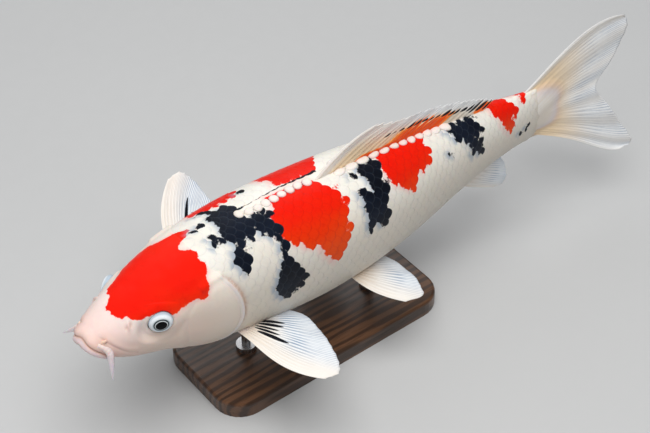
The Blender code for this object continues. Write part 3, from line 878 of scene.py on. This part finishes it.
def nostril_shape(along, around):
    """Each nostril's two openings, from 0 to 1, and the flap that stands between them."""
    x, y = along - NOSTRIL_PLACE[0], np.abs(around) - NOSTRIL_PLACE[1]
    across, down = x + 0.35 * y, y - 0.2 * x
    openings = hump(across, -1.7, 1.1) * hump(down, 0, 1.8) + hump(across, 2.0, 1.2) * hump(down, 0, 2.2)
    return openings, hump(across, 0.1, 0.9) * hump(down, 0, 3.2)


def skin_relief(points, along, around, share, out, up):
    """How far the skin stands off the body's smooth surface, in millimetres."""
    total = gill_relief(along, share) + socket_relief(points)
    total = total + np.where(along < 20, mouth_relief(along, out, up), 0)
    side_view = ease(0.10, 0.20, share) * ease(1.0, 0.86, share)
    total = total + side_view * np.where(along < 135, fold_relief(along, up), 0)
    openings, flap = nostril_shape(along, around)
    swell = lattice_noise(points, 16, 5) - 0.5 + 0.5 * (lattice_noise(points, 7, 6) - 0.5)
    head = ease(112, 90, along) * ease(3, 20, along)
    return total - openings + NOSTRIL_FLAP * flap + SWELL * swell * head


def skin_values(along, around, share, out, up):
    """The skin's markings and tints.

    The lips are pale over a brown line of painted shade where they meet, the gill cover's edge is pink with
    painted shade in the cleft behind it, the nostrils' openings and the barbels' feet get painted shade too,
    and the snout has a blue-grey cast.
    """
    red, black = markings(along, around)
    behind, gill = past_head(along, share)
    off = gape_offset(out, up)
    openings, flap = nostril_shape(along, around)
    lips = hump(off, -2.4, 2.2) * ease(20, 12, along)
    # Painted shade: a brown line where the lips meet, and a faint band above it.
    gape_shade = 0.6 * hump(off, 0, 0.7) * ease(19, 16, along) + 0.2 * hump(off, 1.5, 2.0) * ease(20, 14, along)
    edge = (hump(behind, -1.6, 2.2) + 0.35 * hump(behind, -5.2, 1.3)) * gill
    # Painted shade in the cleft behind the gill cover, and along the inner line of its edge.
    cleft_shade = (0.7 * hump(behind, 0.9, 1.3) + 0.14 * hump(behind, -5.4, 1.2)) * gill
    # Painted shade round the feet of the barbels.
    barbel_foot_shade = hump(np.hypot(along - 12, np.abs(out) - 15) + 0.6 * np.abs(up - 11), 0, 6)
    flush = 0.15 * ease(125, 70, along) + 0.34 * ease(55, 8, along) + 0.3 * flap
    near_red = 0.45 * ease(-6, 0, red) * ease(60, 70, along)
    cap = ease(-2, 2, red) * ease(125, 110, along)
    # Painted shade down the flank, more on the head and less under the red cap.
    low = painted_low_shade(share) * (1 + 0.3 * ease(125, 90, along)) * (1 - 0.7 * cap)
    return {
        "red": red, "red_tint": 0.5 * ease(-2.2, 0.5, red),
        "black": black, "black_tint": ease(-5, 0.5, black),
        # The lips and the gill cover's edge take less of the painted shade, so they read lighter.
        "low": low * (1 - 0.8 * lips) * np.clip(1 - 0.7 * edge, 0, 1),
        "blush": np.clip(flush + 0.2 * lips + 0.15 * edge + near_red, 0, 0.95),
        # This brown is all painted shade, the nostrils' openings included.
        "painted_crease_shade": np.clip(gape_shade + cleft_shade + 0.4 * openings + 0.3 * barbel_foot_shade, 0, 0.9),
        "blue": 0.18 * hump(up, 18, 14) * hump(along, 42, 18) + 0.4 * lips + 0.3 * edge,
    }


def add_skin(finish):
    ring = ring_places()
    v = np.arange(MERIDIANS) / MERIDIANS
    side = np.where(v < 0.5, 1.0, -1.0)
    share = 1 - np.abs(2 * v - 1) + 0 * ring[:, None]
    bend = ease(REAR_BEND[0], REAR_RING, ring) * ease(REAR_BEND[1], REAR_RING, ring)
    along = ring[:, None] + (curve(REAR_LINE, share) - REAR_RING) * bend[:, None]
    out, up = section(along, turn_at(along, share))
    out = out * -side
    around = side * share * half_girth(along)
    points = place(along, out, up)
    round_it = np.roll(points, -1, axis=1) - np.roll(points, 1, axis=1)
    normal = unit(np.cross(round_it, np.gradient(points, axis=0)))
    points = points + normal * skin_relief(points, along, around, share, out, up)[..., None]
    ends = np.array([points[0].mean(axis=0), points[-1].mean(axis=0)])
    values = {
        key: np.append(value, [NO_MARK if key in ("red", "black") else 0] * 2)
        for key, value in skin_values(along, around, share, out, up).items()
    }
    points = np.concatenate([points.reshape(-1, 3), ends])
    skin = build("koi_skin", points, tube_faces(len(ring), MERIDIANS), finish, values)
    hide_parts("head", "lower_jaw", "gill_cover_left", "gill_cover_right", "trunk", "tail_stalk")


# ---------------- the scales
SCALE_ZONES = {"shoulder": (0, 215), "middle": (215, 330), "tail": (330, 600)}   # along
MIDLINE_ROW = 99
FIN_FRONT = (227, 250)     # no pearls here, where the dorsal fin starts
FIN_SPAN = (228, 420)      # beside the dorsal fin the scales start further from the middle of the back
WHOLE_SCALES = (112, 134)  # over this stretch the colours come to end with whole scales
MARK_NOISE = (0.5, 0.8)    # how unevenly the red and the black end with whole scales
SIZE_JITTER = 0.03         # how uneven the scales are in length, width and direction
SCALE_LIFT = 0.04          # a scale's rear edge over the body's surface
SCALE_CROWN = 0.06         # its middle over its sides
SCALE_RIM = 0.06           # its thickness at the edge
SCALE_BODY = 0.09          # how much thicker its middle is
CANAL_HEIGHT = 0.25        # the lateral line's ridge on each scale
MIDLINE_LIFT = 0.1         # the scales of the midline over their neighbours


def scale_places():
    """(along, around, step, row spacing, row) for the left flank's scales, in rows from the lateral line."""
    fine = np.linspace(80, BODY_LENGTH, 2000)
    phase = np.append(0, np.cumsum(np.diff(fine) / curve(SCALE_STEP, fine[1:])))
    found = []
    for row in range(-16, 17):
        along = np.interp(np.arange(math.floor(phase[-1])) + 0.5 * (row % 2), phase, fine)
        spacing, girth = curve(ROW_SPACING, along), half_girth(along)
        around = curve(LATERAL_LINE, along) * girth + row * spacing
        beside_fin = (along > FIN_SPAN[0]) & (along < FIN_SPAN[1])
        _, up = flank(along, np.clip(around, 0.1, girth))
        behind, gill = past_head(along, np.clip(around / girth, 0, 1))
        keep = (around > np.where(beside_fin, 0.75, 0.62) * spacing) & (around < girth - 0.5 * spacing)
        keep &= (behind > 3 + 1.5 * gill) & (along < tail_end(up) - 12)
        rows = np.stack([along, around, curve(SCALE_STEP, along), spacing, 0 * along + row], axis=-1)
        found.append(rows[keep])
    return np.concatenate(found)


def midline_places():
    """The rows that close the back in front of and behind the dorsal fin, and the belly."""
    rows = []
    for along, stop, below in ((112, 158, False), (424, 486, False), (96, 486, True)):
        while along < stop:
            step = curve(SCALE_STEP, along)
            around = half_girth(along) if below else 0
            rows.append((along, around, step, 1.05 * curve(ROW_SPACING, along), MIDLINE_ROW))
            along += step
    return np.array(rows)


def pearl_places():
    """(along, around, step) of the pearls: one row before the dorsal fin, then one on each side of it."""
    rows, along = [], PEARL_LINE[0][0]
    while along < PEARL_LINE[-1][0]:
        around, step = curve(PEARL_LINE, along), curve(PEARL_STEP, along)
        if not FIN_FRONT[0] <= along <= FIN_FRONT[1]:
            rows.append((along, around, step))
        if along > FIN_FRONT[1]:
            rows.append((along + 3, 2.5 - around, step))
        along += step
    return rows


def scale_template():
    """A grid of points over a round scale: x from -1 at its root to 1 at its rear edge, and y across it."""
    line = np.concatenate([[-1], np.linspace(-0.94, 0.94, SCALE_GRID - 2), [1]])
    x, y = np.meshgrid(line, line, indexing="ij")
    return x * np.sqrt(1 - y**2 / 2), y * np.sqrt(1 - x**2 / 2)


def scale_marks(at, over, y, back, middles):
    """How far the points of scales lie in the red and the black, and in the tint before their edges.

    A colour ends half with its outline and half with whole scales: crisp lobes behind, a soft fade in front.
    """
    held = ease(*WHOLE_SCALES, at)
    lobes = 2.6 * (1 - y**2) * ease(0.5, 0.95, back) - 1.1
    values = {}
    places = markings(at, over), markings(at + 4, over)
    for key, middle, local, ahead in zip(("red", "black"), middles, *places):
        depth = local + held * (0.55 * (middle - local) + lobes)
        values[key] = depth * (1 - 0.65 * held * ease(0.85, 0.6, back))
        values[f"{key}_tint"] = ease(-4.0, 2.5, ahead) * ease(0.35, 0.9, back)
    return values


def plates(places, rng, lift):
    """Points, point values and bake places of many scales, each with a top grid and one under it."""
    x, y = scale_template()
    rim, back = np.hypot(x, y), (x + 1) / 2
    along, around, step, spacing, row = (places[:, i, None, None] for i in range(5))
    jitter = rng.normal(size=(4, len(places), 1, 1))
    length = step * SCALE_LENGTH * (1 + SIZE_JITTER * jitter[0])
    width = spacing * SCALE_WIDTH * (1 + SIZE_JITTER * jitter[1])
    sway = SIZE_JITTER * jitter[2]
    local_x = (back - EXPOSED_MIDDLE) * length
    local_y = y * width / 2 * (1 - 0.10 * ease(0.55, 1.0, back))
    at = along + local_x - sway * local_y
    row_bend = curve(LATERAL_LINE, at) * half_girth(at) - curve(LATERAL_LINE, along) * half_girth(along)
    over = around + local_y + sway * local_x + (row != MIDLINE_ROW) * row_bend
    at = np.minimum(at, BODY_LENGTH - 1)
    share = np.clip(np.abs(over) / half_girth(at), 0, 1)
    behind, gill = past_head(at, share)
    dip = gill * hump(behind, 1.4, 2.4)
    canal = (row == 0) * hump(y, 0, 0.10) * ease(0.5, 0.62, back) * ease(0.97, 0.88, back)
    top = SCALE_LIFT + lift - COAT_DEPTH * (1 - back) + SCALE_CROWN * (1 - y**2) * back + 0.02 * jitter[3]
    top = (top - 0.07 * ease(0.88, 1.0, rim) + CANAL_HEIGHT * canal - 1.5 * dip)[..., None]
    thick = (SCALE_RIM + SCALE_BODY * ease(1.0, 0.8, rim))[..., None]
    base, normal = surface(at, over), surface_normal(at, over)
    points = np.stack([base + normal * top, base + normal * (top - thick)], axis=1)
    noise = rng.normal(size=(2, len(places), 1, 1)) * np.reshape(MARK_NOISE, (2, 1, 1, 1))
    values = scale_marks(at, over, y, back, np.array(markings(along, around)) + noise)
    beside = np.clip(at, RIDGE_LINE[0][0], RIDGE_LINE[-1][0])
    ridge = curve(RIDGE_WIDTH, beside) - line_distance(at, over, RIDGE_LINE)
    values["black"] = np.maximum(values["black"], ridge)
    # The low value is the scales' painted shade down the flank.
    values.update({
        # The brown just behind the gill cover is painted shade in its cleft.
        "low": painted_low_shade(share), "blush": 0.2 * dip, "painted_crease_shade": 0.6 * gill * hump(behind, 1.5, 1.0),
        "blue": 0, "back": back, "across": y, "rim": rim, "tone": jitter[2],
    })
    values = {key: np.stack([value + 0 * at] * 2, axis=1) for key, value in values.items()}
    uv = np.stack([bake_place(along, around, x, y)] * 2, axis=1)
    return points.reshape(-1, 3), values, uv.reshape(-1, 2)


def add_scales(finish):
    rng = np.random.default_rng(7)
    left = scale_places()
    left = left[np.argsort(left[:, 0], kind="stable")]
    right = left * np.array([1, -1, 1, 1, 1])
    groups = {}
    for side, rows in (("left", left), ("right", right)):
        for zone, (low, high) in SCALE_ZONES.items():
            groups[f"scales_{side}_{zone}"] = (rows[(rows[:, 0] >= low) & (rows[:, 0] < high)], 0.0)
    groups["scales_midline"] = (midline_places(), MIDLINE_LIFT)
    for name, (rows, lift) in groups.items():
        points, values, uv = plates(rows, rng, lift)
        starts = 2 * SCALE_GRID**2 * np.arange(len(rows))[:, None, None]
        faces = (shell_faces(SCALE_GRID, SCALE_GRID) + starts).reshape(-1, 4)
        coat = build(name, points, [faces], finish, values, uv)


def add_pearls(finish):
    """The plump pale scales beside the middle of the back, each a low dome with its foot in the coat."""
    rng = np.random.default_rng(19)
    rings, sides = 8, 28
    rim = (np.arange(1, rings + 1) / rings)[:, None]
    turn = circle(sides)
    x, y = rim * np.cos(turn), rim * np.sin(turn)
    points, blush, uv = [], [], []
    for along, around, step in pearl_places():
        length = step * rng.uniform(0.92, 1.08)
        width = PEARL_WIDTH * rng.uniform(0.85, 1.1)
        tall = PEARL_HEIGHT * rng.uniform(0.8, 1.15)
        around += rng.uniform(-0.5, 0.5)
        taper, skew = rng.uniform(-0.12, 0.12), rng.uniform(-0.15, 0.25)
        at = along + x * length / 2
        over = around + width / 2 * (y * (1 + taper * x) + skew * x)
        height = tall * np.sqrt(1 - 0.97 * rim**2) * (1 + 0.2 * x) - 0.55 * rim**6
        dome = surface(at, over) + surface_normal(at, over) * height[..., None]
        middle = np.array([along]), np.array([around])
        ends = surface(*middle) + surface_normal(*middle) * np.array([[tall], [-0.8]])
        points.append(np.concatenate([dome.reshape(-1, 3), ends]))
        near_red = ease(-3, 3, markings(*middle)[0])
        blush.append(np.append(0.10 + 0.55 * near_red * ease(0.55, 1.0, rim + 0 * turn), [0.1, 0.4]))
        uv.append(bake_place(along, around, np.append(x, [0, 0]), np.append(y, [0, 0])))
    starts = (rings * sides + 2) * np.arange(len(points))[:, None, None]
    faces = [(group[:, ::-1] + starts).reshape(-1, group.shape[1]) for group in tube_faces(rings, sides)]
    zero = np.zeros(len(points) * (rings * sides + 2))
    values = {key: zero for key in ("low", "red_tint", "black_tint", "across", "tone", "rim", "back")}
    values.update({
        "red": zero + NO_MARK / 2, "black": zero + NO_MARK / 2, "blue": zero + 0.12,
        "blush": np.concatenate(blush),
    })
    pearls = build("scales_pearls", np.concatenate(points), faces, finish, values, np.concatenate(uv))


# ---------------- fins
FIN_ROWS = 64              # points from root to tip
RAY_COLUMNS = 16           # points from one ray to the next
FIN_EDGE = 0.15            # half the thickness at the rim
FIN_SINK = 6               # how deep the dorsal and anal fins start under the skin
PAIRED_SINK = 8            # the same for the paired fins
PAIRED_CAMBER = 3
FIN_PAINTS = ("blush", "flesh", "lilac", "painted_see_through", "red", "black")


def along_rays(table, share, column):
    """A column of a fin's table of rays, read at a share of the way from its first ray to its last."""
    rows = tuple((i / (len(table) - 1), *row) for i, row in enumerate(table))
    return curve(rows, share, column + 1)


def late_bow(out, power):
    """From 0 at the root to 0 at the tip, with its top of 1 the nearer the tip the higher the power."""
    top = power / (power + 1)
    return out**power * (1 - out) / (top**power * (1 - top))


# Each fin's sheet gives points by the share of the way from its first ray to its last, and how far out.
def dorsal_sheet(share, out):
    root, tip, up = (along_rays(DORSAL_RAYS, share, i) for i in range(3))
    low = body_size(root)[0] - FIN_SINK
    rise = out + (0.25 + 0.85 * (1 - share) ** 2) * out * (1 - out)
    lean = DORSAL_LEAN[0] + (DORSAL_LEAN[1] - DORSAL_LEAN[0]) * out
    return place(root + (tip - root) * out, lean, low + (up - low) * rise)


def anal_sheet(share, out):
    root, tip, up = (along_rays(ANAL_RAYS, share, i) for i in range(3))
    low = body_size(root)[1] + FIN_SINK
    bow = 2.5 * (1 - share) * 4 * out * (1 - out)
    return place(root + (tip - root) * out, 0 * out, low + (up - low) * out - bow)


def tail_sheet(share, out):
    root, root_up, tip, tip_up = (along_rays(TAIL_RAYS, share, i) for i in range(4))
    out = out * (1 + TAIL_DEPTH) - TAIL_DEPTH
    bare = np.maximum(out, 0)
    upper, lower = np.maximum(1 - 2 * share, 0) ** 2, np.maximum(2 * share - 1, 0) ** 2
    bow = TAIL_BOW[0] * upper * late_bow(bare, 1.5) - TAIL_BOW[1] * lower * late_bow(bare, 5)
    up = root_up + (tip_up - root_up) * out
    return place(root + (tip - root) * out, TAIL_TWIST * out * up - 2 * out, up + bow)


def paired_sheet(rays, root, sign, pose, bow):
    """The sheet of a pectoral or a pelvic fin; sign is -1 on the left."""
    tilt, forward = math.radians(pose[0]), pose[1]

    def sheet(share, out):
        back, reach = (along_rays(rays, share, i) for i in range(2))
        start = root[3] * share
        along = start + (back - start) * out - bow[0] * (1 - share) ** 1.5 * late_bow(out, bow[1])
        across = (reach + PAIRED_SINK) * out - PAIRED_SINK
        beyond = np.maximum(across, 0)
        camber = PAIRED_CAMBER * (4 * out * (1 - out) - share)
        return place(
            root[0] + along - forward,
            sign * (root[1] + np.minimum(across, 0) + beyond * math.cos(tilt) - camber * math.sin(tilt)),
            root[2] + beyond * math.sin(tilt) + camber * math.cos(tilt),
        )

    return sheet


def no_flesh(share, out):
    return 0 * (share + out)


def root_flesh(share, out):
    """The extra half thickness of a paired fin near its root."""
    return 2.6 * ease(0.3, 0.0, out) ** 1.5 * ease(0, 0.12, np.minimum(share, 1 - share))


def flesh_reach(share):
    """How far out the stalk's flesh reaches over the tail fin, as a share of its rays."""
    return np.maximum(TAIL_FLESH[0] - TAIL_FLESH[1] * (share - 0.48) ** 2, 0)


def tail_flesh(share, out):
    """The extra half thickness where the stalk runs out into the tail fin."""
    left = np.maximum(1 - out / (flesh_reach(share) + 0.13), 0)
    return 7.9 * left**1.15 * ease(0, 0.2, np.minimum(share, 1 - share))


def add_fin(
    name, sheet, finish, paint, rays, branch, relief, notch, flesh=no_flesh, spine=0.55, pleats=(0.9, 1.4)
):
    """A fin as a closed thin shell over a sheet, whose rays stand up as ribs that fork twice.

    They fork first at branch of their length. Relief and spine are the heights of the ribs and of the
    leading edge in millimetres, notch is how deep the rim is cut between the tips, as a share of the
    length, and pleats are the depth and the number of the slow waves.
    """
    share = np.linspace(0, 1, rays * RAY_COLUMNS + 1)[None, :]
    o = np.linspace(0, 1, FIN_ROWS)[:, None]
    phase = share * rays
    phase = phase + 0.07 * np.sin(2.1 * phase) * ease(0, 0.05, share) * ease(1, 0.95, share)
    single, double, fourfold = (0.5 + 0.5 * np.cos(2 * math.pi * phase * k) for k in (1, 2, 4))
    forked, again = ease(branch, branch + 0.25, o), ease(branch + 0.3, 1.0, o)
    ray = single * (1 - forked) + (double * (1 - again) + fourfold * again) * forked
    out = o * (1 - notch * (1 - single + 0.2 * (1 - double)) * ease(0.7, 1.0, o))
    share, phase = share + 0 * out, phase + 0 * out
    centre = sheet(share, out)
    normal = unit(np.cross(np.gradient(centre, axis=1), np.gradient(centre, axis=0)))
    stiff = ease(1.2 / rays, 0.1 / rays, share)
    inside = ease(0, 0.03, 1 - o) * ease(0, 0.4 / rays, np.minimum(share, 1 - share))
    padding = flesh(share, out)
    ribs = relief * ease(3, 0.5, padding) * (1 - 0.5 * out) * ray**1.5
    half = FIN_EDGE + (ribs + spine * stiff * (1 - 0.7 * out)) * inside + padding
    depth, number = pleats
    waves = depth * out**1.5 * np.sin(share * number * 2 * math.pi + 1.3 * out)
    waves = waves + 0.3 * out * np.sin(share * 2.2 * rays + 2 * out)
    middle = centre + normal * waves[..., None]
    points = np.stack([middle + normal * half[..., None], middle - normal * half[..., None]])
    values = {"out": out, "ray": ray, **dict.fromkeys(FIN_PAINTS, 0), **paint(share, out, phase, ray)}
    values = {key: np.stack([value + 0 * out] * 2) for key, value in values.items()}
    fin = build(name, points.reshape(-1, 3), [shell_faces(*out.shape)], finish, values)
    return fin


def streaks(phase, out, rows, seed):
    """Dark wedges in the gaps between a fin's rays. A row is (first gap, last gap, start, end, width)."""
    rng = np.random.default_rng(seed)
    total = np.zeros(np.shape(out + phase))
    for first, last, start, stop, width in rows:
        for k in range(first, last):
            begin = start + rng.uniform(-0.03, 0.03)
            end = stop + rng.uniform(-0.07, 0.05)
            run = np.clip((out - begin) / (end - begin), 0, 1)
            wide = width * rng.uniform(0.7, 1.1) * 2.2 * np.sqrt(run) * (1 - run) ** 0.8
            gap = np.abs(phase - k - 0.5)
            total = np.maximum(total, ease(wide + 0.05, wide - 0.03, gap) * (run > 0) * (run < 1))
    return total


def plain_paint(share, out, phase, ray):
    return {
        "blush": 0.30 * ease(0.6, 0.1, out), "lilac": 0.6 * ease(0.16, 0.0, out),
        # Painted see-through towards the tips.
        "painted_see_through": 0.95 * ease(0.25, 0.9, out) * ease(0.0, 0.4, share),
    }


def dorsal_paint(share, out, phase, ray):
    root = along_rays(DORSAL_RAYS, share, 0)
    flames = 0.14 * ray + 0.06 * np.sin(root * 0.55) + 0.04 * np.sin(root * 1.3)
    red = ease(280, 306, root) * ease(366, 350, root) * ease(0.66, 0.38, out - flames)
    red = red + ease(256, 268, root) * ease(320, 300, root) * ease(0.30, 0.20, out)
    red = red + 0.8 * ease(390, 404, root) * ease(0.95, 0.75, out) * ease(0.2, 0.4, out)
    rows = (
        (5, 8, 0.52, 0.63, 0.3), (8, 13, 0.54, 0.69, 0.38),
        (13, 18, 0.52, 0.76, 0.4), (18, 21, 0.42, 0.9, 0.42),
    )
    return {
        "blush": 0.8 * ease(0.85, 0.35, out) * ease(1.0, 0.6, share) * ease(1.2, 2.0, phase),
        "red": 1.4 * red, "black": streaks(phase, out, rows, 3),
        # Painted see-through towards the tips.
        "painted_see_through": 0.55 * ease(0.35, 0.75, out) * ease(0.12, 0.35, share),
    }


def pectoral_paint(side):
    def paint(share, out, phase, ray):
        rows = ((4, 9, 0.22, 0.56, 0.5),) if side == "left" else ((4, 7, 0.55, 0.84, 0.32),)
        return {
            "blush": 0.2 * ease(0.55, 0.1, out), "lilac": 0.6 * ease(0.22, 0.1, out),
            # Painted see-through towards the tips.
            "black": streaks(phase, out, rows, 5), "painted_see_through": ease(0.3, 0.7, out) * ease(0.10, 0.4, share),
        }

    return paint


def tail_paint(share, out, phase, ray):
    flesh = flesh_reach(share)
    # The painted see-through comes in bands over the ray bundles, standing in for the shade of their pleats.
    bundles = 0.85 + 0.3 * np.sin(2.3 * phase + 3 * out)
    painted_see_through = 0.65 * ease(0.28, 0.85, out) * ease(0.02, 0.12, share) * bundles
    return {
        "blush": 0.8 * ease(0.7, 0.25, out) * ease(flesh - 0.02, flesh + 0.05, out) * ease(0, 0.1, share),
        # The flesh colour covers the middle and lower rays only: partly the flesh's own colour, partly
        # painted shade lower down.
        "flesh": 0.9 * ease(flesh + 0.02, flesh - 0.12, out) * ease(0.25, 0.5, share),
        "lilac": 0.5 * hump(out, flesh, 0.07),
        # Painted see-through, with more of it along the leading edge.
        "painted_see_through": painted_see_through + 0.4 * ease(0.04, 0.0, share),
    }


def add_fins(finish):
    dorsal = add_fin(
        "dorsal_fin_rays", dorsal_sheet, finish, dorsal_paint,
        rays=21, branch=0.62, relief=0.4, notch=0.08, spine=1.3,
    )
    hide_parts("dorsal_fin")
    anal = add_fin(
        "anal_fin_rays", anal_sheet, finish, plain_paint,
        rays=8, branch=0.4, relief=0.22, notch=0.015,
    )
    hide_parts("anal_fin")
    tail = add_fin(
        "caudal_fin_rays", tail_sheet, finish, tail_paint,
        rays=20, branch=0.3, relief=0.25, notch=0.006, flesh=tail_flesh, spine=0.8, pleats=(1.0, 6),
    )
    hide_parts("caudal_fin")
    for kind, table, root, pose, bow, rays in (
        ("pectoral", PECTORAL_RAYS, PECTORAL_ROOT, PECTORAL_POSE, PECTORAL_BOW, 13),
        ("pelvic", PELVIC_RAYS, PELVIC_ROOT, PELVIC_POSE, PELVIC_BOW, 9),
    ):
        for side, sign in (("left", -1), ("right", 1)):
            sheet = paired_sheet(table[side], root, sign, pose[side], bow)
            fin = add_fin(
                f"{kind}_fin_rays_{side}", sheet, finish,
                pectoral_paint(side) if kind == "pectoral" else plain_paint,
                rays=rays, branch=0.35, relief=0.34, notch=0.005, flesh=root_flesh, spine=0.7,
            )
            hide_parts(f"{kind}_fin_{side}")


# ---------------- eyes and barbels
def add_eyes(finish):
    """Each eye is a shallow dome over a deeper bowl that sits in the socket."""
    rings, sides = 84, 96
    turn = circle(sides)
    angle = (np.linspace(0, 1, rings + 2)[1:-1] ** 0.75 * math.pi)[:, None]
    ring = np.sin(angle) + 0 * turn
    dome = angle < math.pi / 2
    relief = 0.25 * ease(0.5, 0.3, ring) - 0.4 * hump(ring, 0.60, 0.05) + 0.35 * hump(ring, 0.80, 0.12)
    height = EYE_RIM_HEIGHT + np.where(dome, EYE_DOME * np.cos(angle) + relief, EYE_BOWL * np.cos(angle))
    tops = np.array([[EYE_RIM_HEIGHT + EYE_DOME + 0.25], [EYE_RIM_HEIGHT - EYE_BOWL]])
    values = {"ring": np.append(np.where(dome, ring, 1), [0, 1])}
    for name, side in (("left", -1), ("right", 1)):
        centre, axis, wide, tall = eye_frame(side)
        spoke = wide * np.cos(turn)[..., None] + tall * EYE_OVAL * np.sin(turn)[..., None]
        points = centre + axis * height[..., None] + spoke * (EYE_RIM * ring)[..., None]
        points = np.concatenate([points.reshape(-1, 3), centre + axis * tops])
        eye = build(f"eye_ball_{name}", points, tube_faces(rings, sides), finish, values)
        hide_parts(f"eye_{name}")


def add_barbels(finish):
    rings, sides = 64, 24
    share = np.linspace(0, 1, rings)
    turn = circle(sides)
    taper = np.sqrt(np.clip(1 - ease(0.95, 1.0, share), 0.02, 1))
    folds = 1 + 0.03 * np.sin(share[:, None] * 70 + 0.8 * np.sin(turn))
    for name, (route, radii) in BARBELS.items():
        knots = np.linspace(0, 1, len(route))
        columns = *zip(*route), radii
        along, out, up, radius = (curve(tuple(zip(knots, column)), share) for column in columns)
        centre = place(along, out, up)
        run = unit(np.gradient(centre, axis=0))
        across = unit(np.cross(run, [0, 1.0, 0.2]))
        beside = np.cross(run, across)
        spoke = across[:, None] * np.cos(turn)[..., None] + beside[:, None] * np.sin(turn)[..., None]
        points = centre[:, None] + spoke * ((radius * taper)[:, None] * folds)[..., None]
        ends = np.stack([centre[0], centre[-1] + run[-1] * 0.15])
        points = np.concatenate([points.reshape(-1, 3), ends])
        values = {
            "out": np.append(share[:, None] + 0 * turn, [0, 1]),
            "warm": np.full(len(points), 0.8 if "upper" in name else 0.0),
        }
        barbel = build(f"{name}_skin", points, tube_faces(rings, sides), finish, values)
        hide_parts(name)


# ---------------- stand, floor, light and camera
FLOOR_REACH = 6.0
CAMERA_AIM = (0.0225, 0.0013, 0.1214)
CAMERA_DISTANCE = 1.30
CAMERA_AZIMUTH = -38
CAMERA_ELEVATION = 42
CAMERA_SENSOR = 36
CAMERA_LENS = 83.66


def finish_stand():
    wood, steel = walnut_material(), steel_material()
    for name, finish in (("stand_base", wood), ("stand_rod_front", steel), ("stand_rod_rear", steel)):
        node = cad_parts[name]
        node.data.materials.clear()
        node.data.materials.append(finish)


def add_floor():
    mesh = bpy.data.meshes.new("floor")
    corners = [(x * FLOOR_REACH, y * FLOOR_REACH, 0) for x, y in ((-1, -1), (1, -1), (1, 1), (-1, 1))]
    mesh.from_pydata(corners, [], [(0, 1, 2, 3)])
    floor = bpy.data.objects.new("floor", mesh)
    bpy.context.scene.collection.objects.link(floor)
    mesh.materials.append(floor_material())


def direction(azimuth, elevation):
    """Towards a lamp or the camera: azimuth 0 is the left flank's side, and 90 the tail's."""
    a, e = math.radians(azimuth), math.radians(elevation)
    return Vector((math.sin(a) * math.cos(e), -math.cos(a) * math.cos(e), math.sin(e)))


def aim(thing, target, away, distance):
    """Puts a lamp or the camera at a distance from its target, looking at it."""
    bpy.context.scene.collection.objects.link(thing)
    thing.location = Vector(target) + away * distance
    thing.rotation_mode = "QUATERNION"
    thing.rotation_quaternion = away.to_track_quat("Z", "Y")


def add_light(name, azimuth, elevation, distance, size, power, colour, glints=True):
    """A square soft light aimed at the fish's middle."""
    lamp = bpy.data.lights.new(name, "AREA")
    lamp.size = size
    lamp.energy = power
    lamp.color = colour
    made = bpy.data.objects.new(name, lamp)
    made.visible_glossy = glints
    aim(made, (0, 0, AXIS_HEIGHT * MM), direction(azimuth, elevation), distance)


def add_lights():
    add_light("key", -30, 74, distance=2.2, size=2.0, power=64, colour=(1.0, 0.98, 0.95), glints=False)
    add_light("side", -95, 26, distance=2.4, size=1.8, power=4, colour=(0.95, 0.97, 1.0))
    add_light("back", 150, 42, distance=2.4, size=1.8, power=12, colour=(1, 1, 1))
    world = bpy.data.worlds.new("studio")
    bpy.context.scene.world = world
    world.use_nodes = True
    background = world.node_tree.nodes["Background"]
    background.inputs["Color"].default_value = (0.93, 0.96, 1.0, 1)
    background.inputs["Strength"].default_value = 0.15


def add_camera():
    """The photograph's view, and plain colour, so that the reds and blacks look as their materials say."""
    lens = bpy.data.cameras.new("camera")
    lens.sensor_width = CAMERA_SENSOR
    lens.lens = CAMERA_LENS
    camera = bpy.data.objects.new("camera", lens)
    aim(camera, CAMERA_AIM, direction(CAMERA_AZIMUTH, CAMERA_ELEVATION), CAMERA_DISTANCE)
    bpy.context.scene.camera = camera
    bpy.context.scene.view_settings.view_transform = "Standard"


def main():
    add_camera()
    add_lights()
    add_floor()
    finish_stand()
    add_skin(skin_material())
    scales = scale_material()
    add_scales(scales)
    add_pearls(scales)
    add_fins(fin_material())
    add_eyes(eye_material())
    add_barbels(barbel_material())


main()
